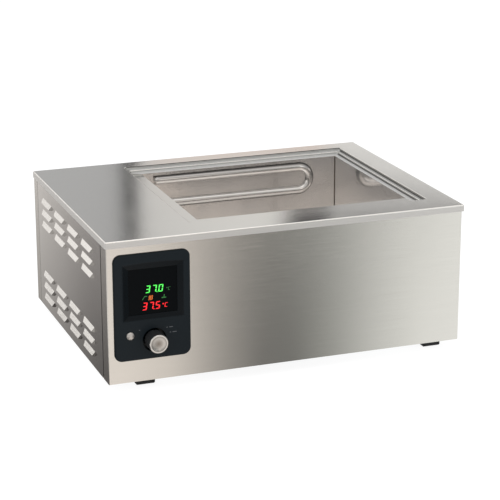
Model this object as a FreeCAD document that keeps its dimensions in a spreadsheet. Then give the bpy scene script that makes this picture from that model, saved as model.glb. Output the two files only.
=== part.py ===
import FreeCAD, Part
import math
import os
import re
import Sketcher
from FreeCAD import Placement, Rotation, Vector

# Bench-top thermostatic water bath: a folded stainless case on four feet, a rectangular tank let into
# its deck, the electronics in a bay at the left, and a drain tap behind.
# Frame: +X to the right, +Y to the back, +Z up, the origin on the floor under the middle of the
# whole outline (knob, louvres and drain tap included). Millimetres.

doc = FreeCAD.newDocument("WaterBath")

# ---------------------------------------------------------------------------------------------
# Driving sizes: alias, value, what it is
# ---------------------------------------------------------------------------------------------
DRIVING = (
    ("deck_width", 578.0, "deck, left edge to right edge"),
    ("deck_depth", 436.0, "deck, front edge to rear edge"),
    ("overall_height", 238.0, "floor to deck top"),
    ("foot_height", 17.0, "floor to the case's bottom edge"),
    ("gauge", 1.0, "sheet thickness of case and tank"),
    ("seat_gap", 0.2, "clearance between sheets that seat on each other"),
    ("mat_gap", 0.4, "clearance round an insulation mat"),
    ("overshoot", 1.0, "a cutting tool past the face it cuts"),
    ("loft_lap", 0.01, "the display recess past the face it cuts"),
    ("skirt_drop", 9.5, "height of the deck's folded skirt"),
    ("bend_radius", 1.6, "outside radius of the deck's folds"),
    ("front_lip", 1.2, "skirt face to front or rear panel face"),
    ("side_lip", 1.2, "skirt face to left panel face"),
    ("right_lip", 3.5, "skirt face to right panel face"),
    ("tank_length", 350.0, "tank inside, left to right"),
    ("tank_breadth", 290.0, "tank inside, front to back"),
    ("tank_depth", 140.0, "lower ledge to tank floor"),
    ("tank_from_right", 54.5, "deck edge to tank inside, right"),
    ("tank_from_rear", 48.0, "deck edge to tank inside, rear"),
    ("tank_flange", 6.0, "width of the tank's welding flange"),
    ("upper_step", 5.0, "deck top down to the upper ledge"),
    ("lower_step", 4.5, "upper ledge down to the lower ledge"),
    ("upper_ledge", 6.0, "width of the upper ledge"),
    ("left_ledge", 19.5, "width of the lower ledge, left"),
    ("right_ledge", 8.5, "width of the lower ledge, right"),
    ("rear_ledge", 10.0, "width of the lower ledge, rear"),
    ("front_ledge", 41.0, "width of the lower ledge, front"),
    ("rim_corner", 4.0, "corner radius of the two steps"),
    ("rib_radius", 6.75, "half width of the bead pressed into the rear wall"),
    ("rib_upper_depth", 22.5, "deck top to the bead's upper leg"),
    ("rib_spacing", 40.5, "upper leg to lower leg"),
    ("rib_from_left", 28.25, "tank inside left to the bead's left end centre"),
    ("rib_from_right", 68.5, "tank inside right to the bend's centre"),
    ("heater_radius", 4.25, "heater tube, half its diameter"),
    ("heater_gap", 0.2, "heater tube to the bead's inside"),
    ("cold_end_length", 22.0, "heater ends, length away from the wall"),
    ("stud_radius", 1.5, "heater terminal studs"),
    ("stud_length", 8.0, "heater terminal studs"),
    ("plate_margin", 3.0, "backing plate past the bead, above and below"),
    ("plate_inset", 10.0, "bead's left end to the backing plate"),
    ("notch_front", 6.0, "heater studs to the front of the bay wall's notch"),
    ("notch_margin", 8.0, "bead legs to the bay wall's notch, above and below"),
    ("front_wrap", 28.0, "front panel's return round the corners"),
    ("rear_wrap", 24.0, "rear panel's return round the corners"),
    ("front_seam", 3.0, "groove between front return and side panel"),
    ("rear_seam", 1.0, "groove between rear return and side panel"),
    ("fold_depth", 8.0, "inward fold at the panels' upright edges"),
    ("floor_fold", 14.0, "inward fold at the panels' bottom edges"),
    ("louvre_width", 57.0, "louvre at the panel"),
    ("louvre_edge", 48.0, "louvre's free edge"),
    ("louvre_drop", 7.8, "louvre's height"),
    ("louvre_reach", 4.0, "louvre out of the panel"),
    ("louvre_lip", 0.5, "thickness of the louvre's free edge"),
    ("louvre_gauge", 0.8, "louvre's drawn sheet thickness"),
    ("louvre_row_pitch", 19.5, "louvre row to row"),
    ("louvre_column_pitch", 81.5, "louvre column to column"),
    ("louvre_rear_inset", 87.5, "deck rear edge to the first column's centre"),
    ("louvre_upper_drop", 30.5, "deck top to the upper group's first top edge"),
    ("louvre_group_drop", 124.5, "upper group to lower group"),
    ("rear_screw_radius", 1.7, "rear panel screws, half the shank"),
    ("rear_screw_head", 3.6, "rear panel screws, half the head"),
    ("rear_screw_head_thick", 1.8, "rear panel screws, height of the head"),
    ("rear_screw_length", 7.0, "rear panel screws, length of the shank"),
    ("rear_screw_side", 16.0, "panel edge to the outer screws"),
    ("rear_screw_low", 12.0, "case bottom edge to the lower screws"),
    ("rear_screw_high", 24.0, "deck top to the upper screws"),
    ("rear_screw_middle", 60.0, "bay wall to the middle screws"),
    ("air_slot_drop", 38.0, "deck top to the first air slot"),
    ("air_slot_pitch", 9.0, "air slot to air slot"),
    ("air_slot_length", 48.0, "air slot, left to right"),
    ("air_slot_height", 3.5, "air slot, bottom to top"),
    ("pocket_radius", 3.0, "sensor pocket, half its diameter"),
    ("probe_radius", 1.95, "sensor and limiter bulb, half their diameter"),
    ("probe_gap", 0.1, "probe to its pocket"),
    ("pocket_length", 100.0, "sensor pockets"),
    ("pocket_pitch", 8.0, "sensor pocket to limiter pocket"),
    ("pocket_above_floor", 50.0, "tank floor to the middle between the pockets"),
    ("pocket_inset", 60.0, "tank front to the sensor pockets"),
    ("probe_end", 2.0, "probes out of their pockets"),
    ("probe_short", 10.0, "pockets longer than their probes"),
    ("capillary_offset", 12.0, "bay wall to the rising capillary"),
    ("grommet_radius", 9.0, "hole in the bay wall for the probe leads"),
    ("grommet_inset", 45.0, "tank front to the grommet"),
    ("grommet_wall", 3.0, "grommet hole to the grommet's bore"),
    ("grommet_lip", 2.0, "grommet's lip, its width and its thickness"),
    ("grommet_clear", 4.0, "grommet hole to the left mat"),
    ("limiter_inset", 20.0, "grommet to the limiter"),
    ("limiter_from_top", 26.0, "deck top to the limiter"),
    ("limiter_side", 34.0, "limiter, side of its square"),
    ("limiter_thick", 22.0, "limiter out of the bay wall"),
    ("mat_thick", 34.0, "insulation beside the tank"),
    ("mat_left_thick", 25.0, "insulation at the bay wall"),
    ("mat_floor_thick", 25.0, "insulation under the tank"),
    ("mat_inset", 20.0, "bead's left end to the rear mat"),
    ("mat_drain_clear", 12.0, "drain pipe to the hole in the floor mat"),
    ("lead_radius", 1.3, "internal leads, half their diameter"),
    ("capillary_radius", 0.9, "limiter capillary, half its diameter"),
    ("probe_bend", 6.0, "bend of the capillary and the thin leads"),
    ("heater_bend", 7.0, "bend of the heater leads"),
    ("mains_bend", 8.0, "bend of the mains leads"),
    ("sensor_lead_inset", 8.0, "mains board's right edge to the sensor lead"),
    ("sensor_lead_end", 10.0, "mains board's front edge to the sensor lead's end"),
    ("heater_lead_rise", 34.0, "mains board to the lower heater lead"),
    ("heater_lead_step", 8.0, "lower heater lead to the upper one"),
    ("earth_drop", 6.0, "inlet's centre to the earth lead"),
    ("earth_reach", 50.0, "rear panel to the earth lead's end"),
    ("ribbon_width", 20.0, "ribbon cable"),
    ("ribbon_thick", 1.0, "ribbon cable"),
    ("ribbon_inset", 10.0, "mains board's right edge to the ribbon cable"),
    ("ribbon_run", 60.0, "control board to the ribbon cable's drop"),
    ("ribbon_from_top", 70.0, "bezel top to the ribbon cable's front end"),
    ("plug_set_in", 1.0, "mains board's front edge to the ribbon plug"),
    ("plug_length", 5.0, "ribbon plug, front to back"),
    ("plug_height", 3.0, "ribbon plug"),
    ("foot_width", 30.0, "rubber foot, side of its square"),
    ("foot_left_inset", 66.0, "deck left edge to foot centre"),
    ("foot_right_inset", 36.0, "deck right edge to foot centre"),
    ("foot_end_inset", 43.0, "deck front or rear edge to foot centre"),
    ("foot_bore", 2.8, "hole for the foot screw"),
    ("foot_sink", 6.0, "radius of the foot's counterbore"),
    ("foot_sink_depth", 9.0, "depth of the foot's counterbore"),
    ("foot_edge", 1.5, "chamfer on the foot"),
    ("screw_radius", 2.5, "foot screw thread"),
    ("screw_head_radius", 4.5, "foot screw head"),
    ("screw_head_height", 3.5, "foot screw head"),
    ("screw_above_plate", 6.0, "foot screw out of the base plate"),
    ("foot_nut_height", 4.0, "nut on the foot screw"),
    ("base_slot_inset", 8.0, "mains board's left edge to the first base slot"),
    ("base_slot_pitch", 9.0, "base slot to base slot"),
    ("base_slot_width", 4.0, "base slot, left to right"),
    ("base_slot_front", 90.0, "deck front edge to the base slots"),
    ("base_slot_length", 40.0, "base slot, front to back"),
    ("bezel_width", 118.5, "control bezel, left to right"),
    ("bezel_height", 165.3, "control bezel, bottom to top"),
    ("bezel_from_left", 10.4, "deck left edge to the bezel"),
    ("bezel_from_bottom", 34.4, "case bottom edge to the bezel"),
    ("bezel_corner", 12.0, "bezel corner radius"),
    ("bezel_proud", 3.0, "bezel out of the front panel"),
    ("bezel_edge", 2.2, "rounding of the bezel's front edge"),
    ("bezel_inner", 1.0, "bezel plate inside the front panel"),
    ("housing_inset", 6.0, "bezel edge to its housing"),
    ("housing_depth", 26.0, "housing behind the front panel"),
    ("housing_wall", 2.5, "housing wall"),
    ("panel_fit", 0.4, "clearance of the housing in the front panel"),
    ("boss_inset", 14.0, "bezel edge to a board boss"),
    ("boss_radius", 4.0, "board boss"),
    ("boss_hole", 1.3, "screw hole in a board boss"),
    ("boss_hole_depth", 6.0, "screw hole in a board boss"),
    ("board_hole", 1.6, "screw hole in the control board"),
    ("board_screw_radius", 1.25, "board screw, half its shank"),
    ("board_screw_depth", 5.0, "board screw into its boss"),
    ("board_screw_head", 2.8, "board screw, half its head"),
    ("board_screw_head_thick", 2.0, "board screw, height of the head"),
    ("recess_width", 97.4, "display recess at its mouth"),
    ("recess_height", 88.8, "display recess at its mouth"),
    ("recess_from_top", 15.7, "bezel top to the recess"),
    ("recess_from_left", 12.5, "bezel left to the recess"),
    ("recess_depth", 3.2, "display recess"),
    ("recess_side_slope", 11.0, "width of the recess's side slopes"),
    ("recess_end_slope", 9.0, "width of the recess's upper and lower slopes"),
    ("recess_arch", 2.6, "rise of the recess's arched top"),
    ("window_lap", 4.0, "window past its opening"),
    ("window_thick", 2.0, "display window"),
    ("knob_from_left", 72.0, "deck left edge to the knob's axis"),
    ("knob_above_bottom", 64.0, "case bottom edge to the knob's axis"),
    ("knob_radius", 15.0, "control knob"),
    ("knob_reach", 22.0, "control knob out of the bezel"),
    ("knob_set_in", 1.5, "control knob into its well at rest"),
    ("knob_travel", 7.0, "push of the main switch"),
    ("knob_wall", 2.5, "wall of the knob's shell"),
    ("shell_behind_cap", 0.5, "knob's shell behind the metal cap's face"),
    ("knob_edge_width", 0.3, "bevel of the knob's edge, across"),
    ("knob_edge_depth", 0.9, "bevel of the knob's edge, along"),
    ("hub_radius", 5.5, "hub inside the knob"),
    ("hub_set_back", 2.0, "knob's shell past its hub"),
    ("well_radius", 18.5, "well round the knob"),
    ("well_depth", 10.0, "depth of the well"),
    ("well_wall", 1.8, "wall of the well"),
    ("cap_radius", 14.2, "metal cap in the knob's face"),
    ("cap_thick", 3.0, "metal cap"),
    ("cap_dish", 1.6, "depth of the cap's hollow"),
    ("cap_rim", 2.2, "width of the cap's rim"),
    ("cap_edge", 0.5, "bevel of the cap's edge"),
    ("shaft_radius", 3.0, "encoder shaft"),
    ("sleeve_radius", 4.0, "sliding sleeve of the main switch"),
    ("sleeve_clear", 0.3, "sleeve to the hole in the well's floor"),
    ("running_fit", 0.05, "radial clearance of a moving fit"),
    ("sleeve_flange", 6.0, "radius of the sleeve's stop flange"),
    ("flange_thick", 1.5, "thickness of the stop flange"),
    ("switch_side", 22.0, "main switch body, side of its square"),
    ("switch_wall", 2.0, "wall of the main switch body"),
    ("switch_spare", 2.5, "room behind the pushed stop flange"),
    ("clip_rim", 1.5, "retaining clip round the encoder shaft"),
    ("clip_thick", 1.0, "retaining clip"),
    ("bush_radius", 6.5, "main switch bush"),
    ("button_from_left", 34.6, "deck left edge to the set button's axis"),
    ("button_above_bottom", 74.2, "case bottom edge to the set button's axis"),
    ("button_radius", 5.8, "set button"),
    ("button_reach", 4.0, "set button out of the bezel"),
    ("button_travel", 1.2, "press of the set button"),
    ("button_flange", 7.4, "radius of the set button's flange"),
    ("button_flange_thick", 1.2, "set button's flange"),
    ("button_wall", 1.2, "straight side of the button out of the bezel"),
    ("button_stem", 2.0, "radius of the set button's stem"),
    ("tactile_side", 6.0, "tactile switch, side of its square"),
    ("tactile_height", 4.0, "tactile switch out of the board"),
    ("board_thick", 1.6, "printed circuit boards"),
    ("board_behind", 13.0, "front panel to the control board"),
    ("bay_margin", 9.0, "upper step to the electronics bay's wall"),
    ("mains_board_width", 90.0, "mains board, left to right"),
    ("mains_board_length", 180.0, "mains board, front to back"),
    ("mains_board_from_left", 27.0, "deck left edge to the mains board"),
    ("mains_board_from_rear", 68.0, "deck rear edge to the mains board"),
    ("standoff_height", 9.0, "base plate to the mains board"),
    ("standoff_radius", 3.5, "standoffs"),
    ("standoff_inset", 6.0, "board edge to a standoff"),
    ("transformer_inset", 12.0, "mains board's left edge to the transformer"),
    ("transformer_from_rear", 26.0, "mains board's rear edge to the core"),
    ("transformer_length", 50.0, "transformer core, left to right"),
    ("transformer_width", 40.0, "transformer core, front to back"),
    ("transformer_height", 34.0, "mains board to the core's top"),
    ("core_raised", 4.0, "mains board to the core's underside"),
    ("bobbin_inset", 8.0, "core end to the bobbin"),
    ("bobbin_reach", 6.0, "bobbin out of the core, front and rear"),
    ("bobbin_height", 28.0, "transformer bobbin"),
    ("relay_inset", 66.0, "mains board's left edge to the relay"),
    ("relay_from_rear", 42.0, "mains board's rear edge to the relay"),
    ("relay_width", 16.0, "relay, left to right"),
    ("relay_length", 28.0, "relay, front to back"),
    ("relay_height", 24.0, "relay"),
    ("sink_inset", 60.0, "mains board's front edge to the heat sink's back"),
    ("sink_left_inset", 14.0, "mains board's left edge to the heat sink"),
    ("sink_length", 50.0, "heat sink, left to right"),
    ("sink_height", 38.0, "heat sink"),
    ("sink_plate_thick", 4.0, "heat sink's plate"),
    ("fin_length", 18.0, "heat sink fins"),
    ("fin_thick", 1.8, "heat sink fins"),
    ("triac_inset", 33.0, "mains board's left edge to the triac"),
    ("triac_width", 10.0, "triac"),
    ("triac_thick", 4.5, "triac"),
    ("triac_height", 18.0, "triac"),
    ("bar_inset", 10.0, "mains board's left edge to the terminal block"),
    ("bar_end_inset", 5.0, "mains board's right edge to the terminal block"),
    ("bar_from_rear", 2.0, "mains board's rear edge to the terminal block"),
    ("bar_width", 14.0, "terminal block, front to back"),
    ("bar_height", 14.0, "terminal block"),
    ("bar_lead_inset", 9.0, "terminal block's rear to the leads' ends"),
    ("terminal_first", 6.0, "terminal block's left end to the first terminal"),
    ("terminal_pitch", 10.0, "terminal to terminal"),
    ("terminal_inset", 3.0, "terminal block's rear to the terminals"),
    ("terminal_radius", 2.0, "terminal's screw well"),
    ("terminal_depth", 5.0, "terminal's screw well"),
    ("fin_pitch", 6.0, "heat sink fins"),
    ("inlet_width", 47.0, "mains inlet body"),
    ("inlet_tall", 28.0, "mains inlet body"),
    ("inlet_from_left", 62.0, "deck left edge to the inlet's centre"),
    ("inlet_above_bottom", 86.0, "case bottom edge to the inlet's centre"),
    ("inlet_lip", 3.0, "flange past the inlet body"),
    ("inlet_flange_thick", 2.5, "inlet flange"),
    ("inlet_depth", 24.0, "inlet body behind the rear panel"),
    ("socket_left", 4.0, "inlet's centre to the socket's left side"),
    ("socket_right", 20.0, "inlet's centre to the socket's right side"),
    ("socket_tall", 17.0, "mains socket"),
    ("socket_depth", 17.0, "mains socket and drawer room behind the panel"),
    ("pin_thick", 1.5, "inlet pin, left to right"),
    ("pin_tall", 4.0, "inlet pin"),
    ("pin_pitch", 6.0, "inlet pin to inlet pin"),
    ("pin_drop", 4.0, "inlet's centre to the outer pins' lower side"),
    ("earth_pin_rise", 3.0, "middle pin above the outer ones"),
    ("pin_set_in", 2.0, "rear panel face to the pins' tips"),
    ("drawer_left", 20.0, "inlet's centre to the drawer room's left side"),
    ("drawer_right", 8.0, "inlet's centre to the drawer room's right side"),
    ("drawer_tall", 20.0, "room of the fuse drawer"),
    ("drawer_gap", 0.2, "fuse drawer to its room"),
    ("drawer_depth", 16.0, "fuse drawer behind the rear panel"),
    ("drawer_proud", 3.2, "fuse drawer out of the rear panel"),
    ("drain_from_right", 88.0, "deck right edge to the drain's centre"),
    ("drain_from_rear", 84.0, "deck rear edge to the drain's down pipe"),
    ("drain_above_floor", 52.0, "floor to the drain pipe's axis"),
    ("drain_bore", 6.0, "bore radius of the drain"),
    ("drain_pipe_radius", 8.0, "drain pipe, half its diameter"),
    ("drain_collar_rim", 7.0, "collar round the pipe under the tank"),
    ("drain_collar_thick", 3.0, "collar under the tank"),
    ("drain_nut_rim", 6.0, "nuts round the pipe at the rear panel"),
    ("drain_nut_thick", 4.0, "nuts at the rear panel"),
    ("valve_stand_off", 5.0, "rear panel to the drain valve"),
    ("pipe_in_valve", 4.0, "drain pipe into the valve"),
    ("valve_radius", 13.0, "drain valve body"),
    ("valve_length", 28.0, "drain valve body"),
    ("valve_boss_rise", 3.0, "stem boss out of the valve body"),
    ("valve_boss_wall", 3.0, "wall of the stem boss"),
    ("ball_radius", 9.5, "drain valve ball"),
    ("ball_clearance", 0.3, "ball to its seat"),
    ("stem_radius", 3.0, "drain valve stem"),
    ("stem_in_ball", 2.0, "stem into the ball"),
    ("stem_above_lever", 4.0, "stem out of the lever"),
    ("lever_nut_radius", 5.0, "nut on the stem"),
    ("lever_nut_thick", 3.0, "nut on the stem"),
    ("lever_length", 56.0, "drain valve lever"),
    ("lever_width", 11.0, "drain valve lever"),
    ("lever_thick", 2.5, "drain valve lever"),
    ("lever_eye_rim", 1.0, "lever's round end past its strap"),
    ("grip_wall", 1.5, "wall of the lever's grip"),
    ("spigot_radius", 6.5, "hose spigot"),
    ("spigot_length", 20.0, "hose spigot"),
    ("spigot_wall", 1.5, "wall of the hose spigot"),
)

sheet = doc.addObject("Spreadsheet::Sheet", "Sizes")
for row, (alias, size, note) in enumerate(DRIVING, start=1):
    sheet.set("A%d" % row, note)
    sheet.set("B%d" % row, str(size))
    sheet.setAlias("B%d" % row, alias)
doc.recompute()
ALIASES = {alias for alias, size, note in DRIVING}

# ---------------------------------------------------------------------------------------------
# Places worked out from the driving sizes
# ---------------------------------------------------------------------------------------------
PLACES = {
    # the outline reaches past the deck at the knob, at the louvres and at the drain tap
    "knob_overhang": "bezel_proud + knob_reach - front_lip",
    "drain_overhang": "valve_stand_off + valve_length + spigot_length - front_lip",
    "depth_shift": "(knob_overhang - drain_overhang) / 2",
    "width_shift": "(louvre_reach - side_lip) / 2",
    "left_edge": "width_shift - deck_width / 2",
    "right_edge": "width_shift + deck_width / 2",
    "front_edge": "depth_shift - deck_depth / 2",
    "rear_edge": "depth_shift + deck_depth / 2",
    # panel faces and the space inside them
    "left_face": "left_edge + side_lip",
    "right_face": "right_edge - right_lip",
    "front_face": "front_edge + front_lip",
    "rear_face": "rear_edge - front_lip",
    "left_inside": "left_face + gauge + seat_gap",
    "right_inside": "right_face - gauge - seat_gap",
    "front_inside": "front_face + gauge + seat_gap",
    "rear_inside": "rear_face - gauge - seat_gap",
    "panel_top": "overall_height - gauge - seat_gap",
    "base_low": "foot_height + gauge",
    "base_top": "foot_height + 2 * gauge",
    "fold_low": "base_top + seat_gap",
    "base_slots_y": "front_edge + base_slot_front",
    "panel_corner": "0.9 * gauge",
    # side panels between the returns of the front and rear panels
    "front_return": "front_face + front_wrap",
    "rear_return": "rear_face - rear_wrap",
    "side_front": "front_return + front_seam",
    "side_rear": "rear_return - rear_seam",
    # tank, ledges and steps
    "tank_right": "right_edge - tank_from_right",
    "tank_left": "tank_right - tank_length",
    "tank_rear": "rear_edge - tank_from_rear",
    "tank_front": "tank_rear - tank_breadth",
    "step_left": "tank_left - left_ledge",
    "step_right": "tank_right + right_ledge",
    "step_rear": "tank_rear + rear_ledge",
    "step_front": "tank_front - front_ledge",
    "rim_left": "step_left - upper_ledge",
    "rim_right": "step_right + upper_ledge",
    "rim_rear": "step_rear + upper_ledge",
    "rim_front": "step_front - upper_ledge",
    "upper_ledge_z": "overall_height - upper_step",
    "lower_ledge_z": "upper_ledge_z - lower_step",
    "tank_rim_z": "lower_ledge_z - gauge",
    "tank_floor_z": "lower_ledge_z - tank_depth",
    "mat_top": "tank_rim_z - gauge - mat_gap",
    # bead and heater
    "rib_upper_z": "overall_height - rib_upper_depth",
    "rib_lower_z": "rib_upper_z - rib_spacing",
    "rib_middle_z": "rib_upper_z - rib_spacing / 2",
    "rib_left": "tank_left + rib_from_left",
    "rib_right": "tank_right - rib_from_right",
    "channel_radius": "rib_radius - gauge",
    "heater_y": "tank_rear - channel_radius + heater_radius + heater_gap",
    "wall_back": "tank_rear + gauge",
    "plate_front": "heater_y + heater_radius + heater_gap",
    "plate_low": "rib_lower_z - rib_radius - plate_margin",
    "plate_high": "rib_upper_z + rib_radius + plate_margin",
    "stud_y": "heater_y + cold_end_length + stud_length / 2",
    "pocket_x": "tank_left - gauge - pocket_radius",
    "pocket_y": "tank_front + pocket_inset",
    "probe_middle_z": "tank_floor_z + pocket_above_floor",
    "sensor_z": "probe_middle_z - pocket_pitch / 2",
    "limiter_z": "probe_middle_z + pocket_pitch / 2",
    "grommet_y": "tank_front + grommet_inset",
    "grommet_z": "probe_middle_z",
    # louvres
    "louvre_slope": "(louvre_drop - louvre_lip) / louvre_reach",
    "louvre_cut": "louvre_gauge * sqrt(1 + louvre_slope ^ 2)",
    # control bezel and what sits in it
    "bezel_left": "left_edge + bezel_from_left",
    "bezel_right": "bezel_left + bezel_width",
    "bezel_low": "foot_height + bezel_from_bottom",
    "bezel_high": "bezel_low + bezel_height",
    "bezel_front": "front_face - bezel_proud",
    "bezel_back": "front_face + bezel_inner",
    "recess_left": "bezel_left + recess_from_left",
    "recess_high": "bezel_high - recess_from_top",
    "recess_low": "recess_high - recess_height",
    "window_left": "recess_left + recess_side_slope",
    "window_low": "recess_low + recess_end_slope",
    "window_width": "recess_width - 2 * recess_side_slope",
    "window_height": "recess_height - 2 * recess_end_slope",
    "knob_x": "left_edge + knob_from_left",
    "knob_z": "foot_height + knob_above_bottom",
    "well_floor": "bezel_front + well_depth",
    "knob_face": "bezel_front - knob_reach",
    "knob_back": "bezel_front + knob_set_in",
    "button_x": "left_edge + button_from_left",
    "button_z": "foot_height + button_above_bottom",
    "board_front": "front_face + board_behind",
    "board_back": "board_front + board_thick",
    # electronics bay
    "bay_wall": "rim_left - bay_margin",
    "mains_left": "left_edge + mains_board_from_left",
    "mains_right": "mains_left + mains_board_width",
    "mains_rear": "rear_edge - mains_board_from_rear",
    "mains_front": "mains_rear - mains_board_length",
    "mains_low": "base_top + standoff_height",
    "mains_top": "mains_low + board_thick",
    "sink_back": "mains_front + sink_inset",
    "sink_front": "sink_back - sink_plate_thick",
    "sink_left": "mains_left + sink_left_inset",
    "core_left": "mains_left + transformer_inset",
    "core_right": "core_left + transformer_length",
    "core_rear": "mains_rear - transformer_from_rear",
    "core_front": "core_rear - transformer_width",
    "relay_left": "mains_left + relay_inset",
    "relay_rear": "mains_rear - relay_from_rear",
    "triac_left": "mains_left + triac_inset",
    "bar_left": "mains_left + bar_inset",
    "bar_rear": "mains_rear - bar_from_rear",
    "bar_top": "mains_top + bar_height",
    "lead_end_y": "bar_rear - bar_lead_inset",
    "limiter_y": "grommet_y + limiter_inset",
    "limiter_top": "overall_height - limiter_from_top",
    "limiter_z_middle": "limiter_top - limiter_side / 2",
    "ribbon_right": "mains_right - ribbon_inset",
    "inlet_x": "left_edge + inlet_from_left",
    "inlet_z": "foot_height + inlet_above_bottom",
    # drain
    "drain_x": "right_edge - drain_from_right",
    "drain_y": "rear_edge - drain_from_rear",
    "drain_z": "drain_above_floor",
    "valve_front": "rear_face + valve_stand_off",
    "valve_back": "valve_front + valve_length",
    "valve_y": "valve_front + valve_length / 2",
    "stem_low": "drain_z + ball_radius - stem_in_ball",
    "lever_low": "drain_z + valve_radius + valve_boss_rise + seat_gap",
    "lever_high": "lever_low + lever_thick",
    "lever_tip": "drain_x - lever_length",
    "grip_end": "drain_x - lever_length / 3",
}
WORD = re.compile(r"[a-z][a-z0-9_]*")


def bind(formula):
    """Return a formula with each name replaced by its cell or by its own formula."""
    def cell(match):
        word = match.group(0)
        if word in PLACES:
            return "(" + bind(PLACES[word]) + ")"
        return "Sizes." + word if word in ALIASES else word
    return WORD.sub(cell, str(formula))


def number(formula):
    """Return what a formula comes to now."""
    return float(sheet.evalExpression(bind(formula)))


# ---------------------------------------------------------------------------------------------
# Part primitives and booleans, bound to the sheet
# ---------------------------------------------------------------------------------------------
TURNS = {
    "x": Rotation(Vector(0, 1, 0), 90),
    "y": Rotation(Vector(1, 0, 0), -90),
    "z": Rotation(),
}


def place(item, where):
    """Bind an object's place to three formulas."""
    for axis, formula in zip("xyz", where):
        item.setExpression("Placement.Base." + axis, bind(formula))
    return item


def block(name, across, along, upward):
    """A box between pairs of formulas: left and right, front and rear, low and high."""
    item = doc.addObject("Part::Box", name)
    for size, (low, high) in zip(("Length", "Width", "Height"), (across, along, upward)):
        item.setExpression(size, bind("(%s) - (%s)" % (high, low)))
    return place(item, (across[0], along[0], upward[0]))


def rod(name, axis, start, radius, length):
    """A cylinder from a start point along +X, +Y or +Z."""
    item = doc.addObject("Part::Cylinder", name)
    item.Placement = Placement(Vector(), TURNS[axis])
    item.setExpression("Radius", bind(radius))
    item.setExpression("Height", bind(length))
    return place(item, start)


def ball(name, centre, radius):
    """A sphere."""
    item = doc.addObject("Part::Sphere", name)
    item.setExpression("Radius", bind(radius))
    return place(item, centre)


def half_ring(name, centre, ring_radius, tube_radius):
    """The right half of a torus that lies in an upright plane facing +Y."""
    item = doc.addObject("Part::Torus", name)
    item.Placement = Placement(Vector(), Rotation(Vector(0, 0, -1), Vector(1, 0, 0), Vector(0, -1, 0)))
    item.Angle3 = 180
    item.setExpression("Radius1", bind(ring_radius))
    item.setExpression("Radius2", bind(tube_radius))
    return place(item, centre)


def fuse(name, items):
    """One object from several."""
    item = doc.addObject("Part::MultiFuse", name)
    item.Shapes = items
    item.Refine = True
    return item


def cut(name, base, tools):
    """An object less one tool or several."""
    item = doc.addObject("Part::Cut", name)
    item.Base = base
    item.Tool = tools[0] if len(tools) == 1 else fuse(name + "_tools", tools)
    item.Refine = True
    return item


def group(name, items):
    """Separate solids that share one node."""
    item = doc.addObject("Part::Compound", name)
    item.Links = items
    return item


# ---------------------------------------------------------------------------------------------
# PartDesign bodies, bound to the sheet
# ---------------------------------------------------------------------------------------------
def new_body(name):
    """An empty body with its own label."""
    body = doc.addObject("PartDesign::Body", name)
    body.Label = name
    return body


def new_sketch(body, name, role, offset):
    """A sketch on one of the body's own origin planes, moved in the plane's own axes."""
    sketch = body.newObject("Sketcher::SketchObject", name)
    planes = [item for item in body.Origin.OriginFeatures if item.Role == role]
    sketch.AttachmentSupport = [(planes[0], "")]
    sketch.MapMode = "FlatFace"
    for axis, formula in zip("xyz", offset):
        sketch.setExpression("AttachmentOffset.Base." + axis, bind(formula))
    return sketch


def measure(sketch, kind, first, second, formula):
    """Constrain the distance between two points of a sketch to a formula."""
    index = sketch.addConstraint(Sketcher.Constraint(kind, *first, *second, number(formula)))
    sketch.setExpression("Constraints[%d]" % index, bind(formula))


def draw_rectangle(sketch, width, height):
    """A rectangle with its lower left corner at the sketch's origin."""
    wide, tall = number(width), number(height)
    corners = [Vector(0, 0, 0), Vector(wide, 0, 0), Vector(wide, tall, 0), Vector(0, tall, 0)]
    for side in range(4):
        sketch.addGeometry(Part.LineSegment(corners[side], corners[(side + 1) % 4]), False)
    for side in range(4):
        sketch.addConstraint(Sketcher.Constraint("Coincident", side, 2, (side + 1) % 4, 1))
        level = "Horizontal" if side % 2 == 0 else "Vertical"
        sketch.addConstraint(Sketcher.Constraint(level, side))
    sketch.addConstraint(Sketcher.Constraint("Coincident", 0, 1, -1, 1))
    measure(sketch, "DistanceX", (0, 1), (0, 2), width)
    measure(sketch, "DistanceY", (1, 1), (1, 2), height)


def solid_feature(body, kind, name, sketch, length):
    """A Pad or a Pocket of a sketch; a Pocket has to take material away."""
    before = body.Shape.Volume if kind == "Pocket" else 0.0
    feature = body.newObject("PartDesign::" + kind, name)
    feature.Profile = sketch
    feature.setExpression("Length", bind(length))
    doc.recompute()
    if kind == "Pocket" and feature.Shape.Volume > before - 1e-6:
        raise ValueError(name + " takes nothing away")
    return feature


def slab(body, name, across, along, upward):
    """Add a box to a body: left and right, front and rear, low and high."""
    sketch = new_sketch(body, name + "_sketch", "XY_Plane", (across[0], along[0], upward[0]))
    draw_rectangle(sketch, "(%s) - (%s)" % (across[1], across[0]), "(%s) - (%s)" % (along[1], along[0]))
    return solid_feature(body, "Pad", name, sketch, "(%s) - (%s)" % (upward[1], upward[0]))


def hollow(body, name, across, along, upward):
    """Take a box out of a body."""
    sketch = new_sketch(body, name + "_sketch", "XY_Plane", (across[0], along[0], upward[1]))
    draw_rectangle(sketch, "(%s) - (%s)" % (across[1], across[0]), "(%s) - (%s)" % (along[1], along[0]))
    return solid_feature(body, "Pocket", name, sketch, "(%s) - (%s)" % (upward[1], upward[0]))


def draw_circle(sketch, radius):
    """A circle about the sketch's origin."""
    sketch.addGeometry(Part.Circle(Vector(), Vector(0, 0, 1), number(radius)), False)
    sketch.addConstraint(Sketcher.Constraint("Coincident", 0, 3, -1, 1))
    index = sketch.addConstraint(Sketcher.Constraint("Radius", 0, number(radius)))
    sketch.setExpression("Constraints[%d]" % index, bind(radius))


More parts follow.
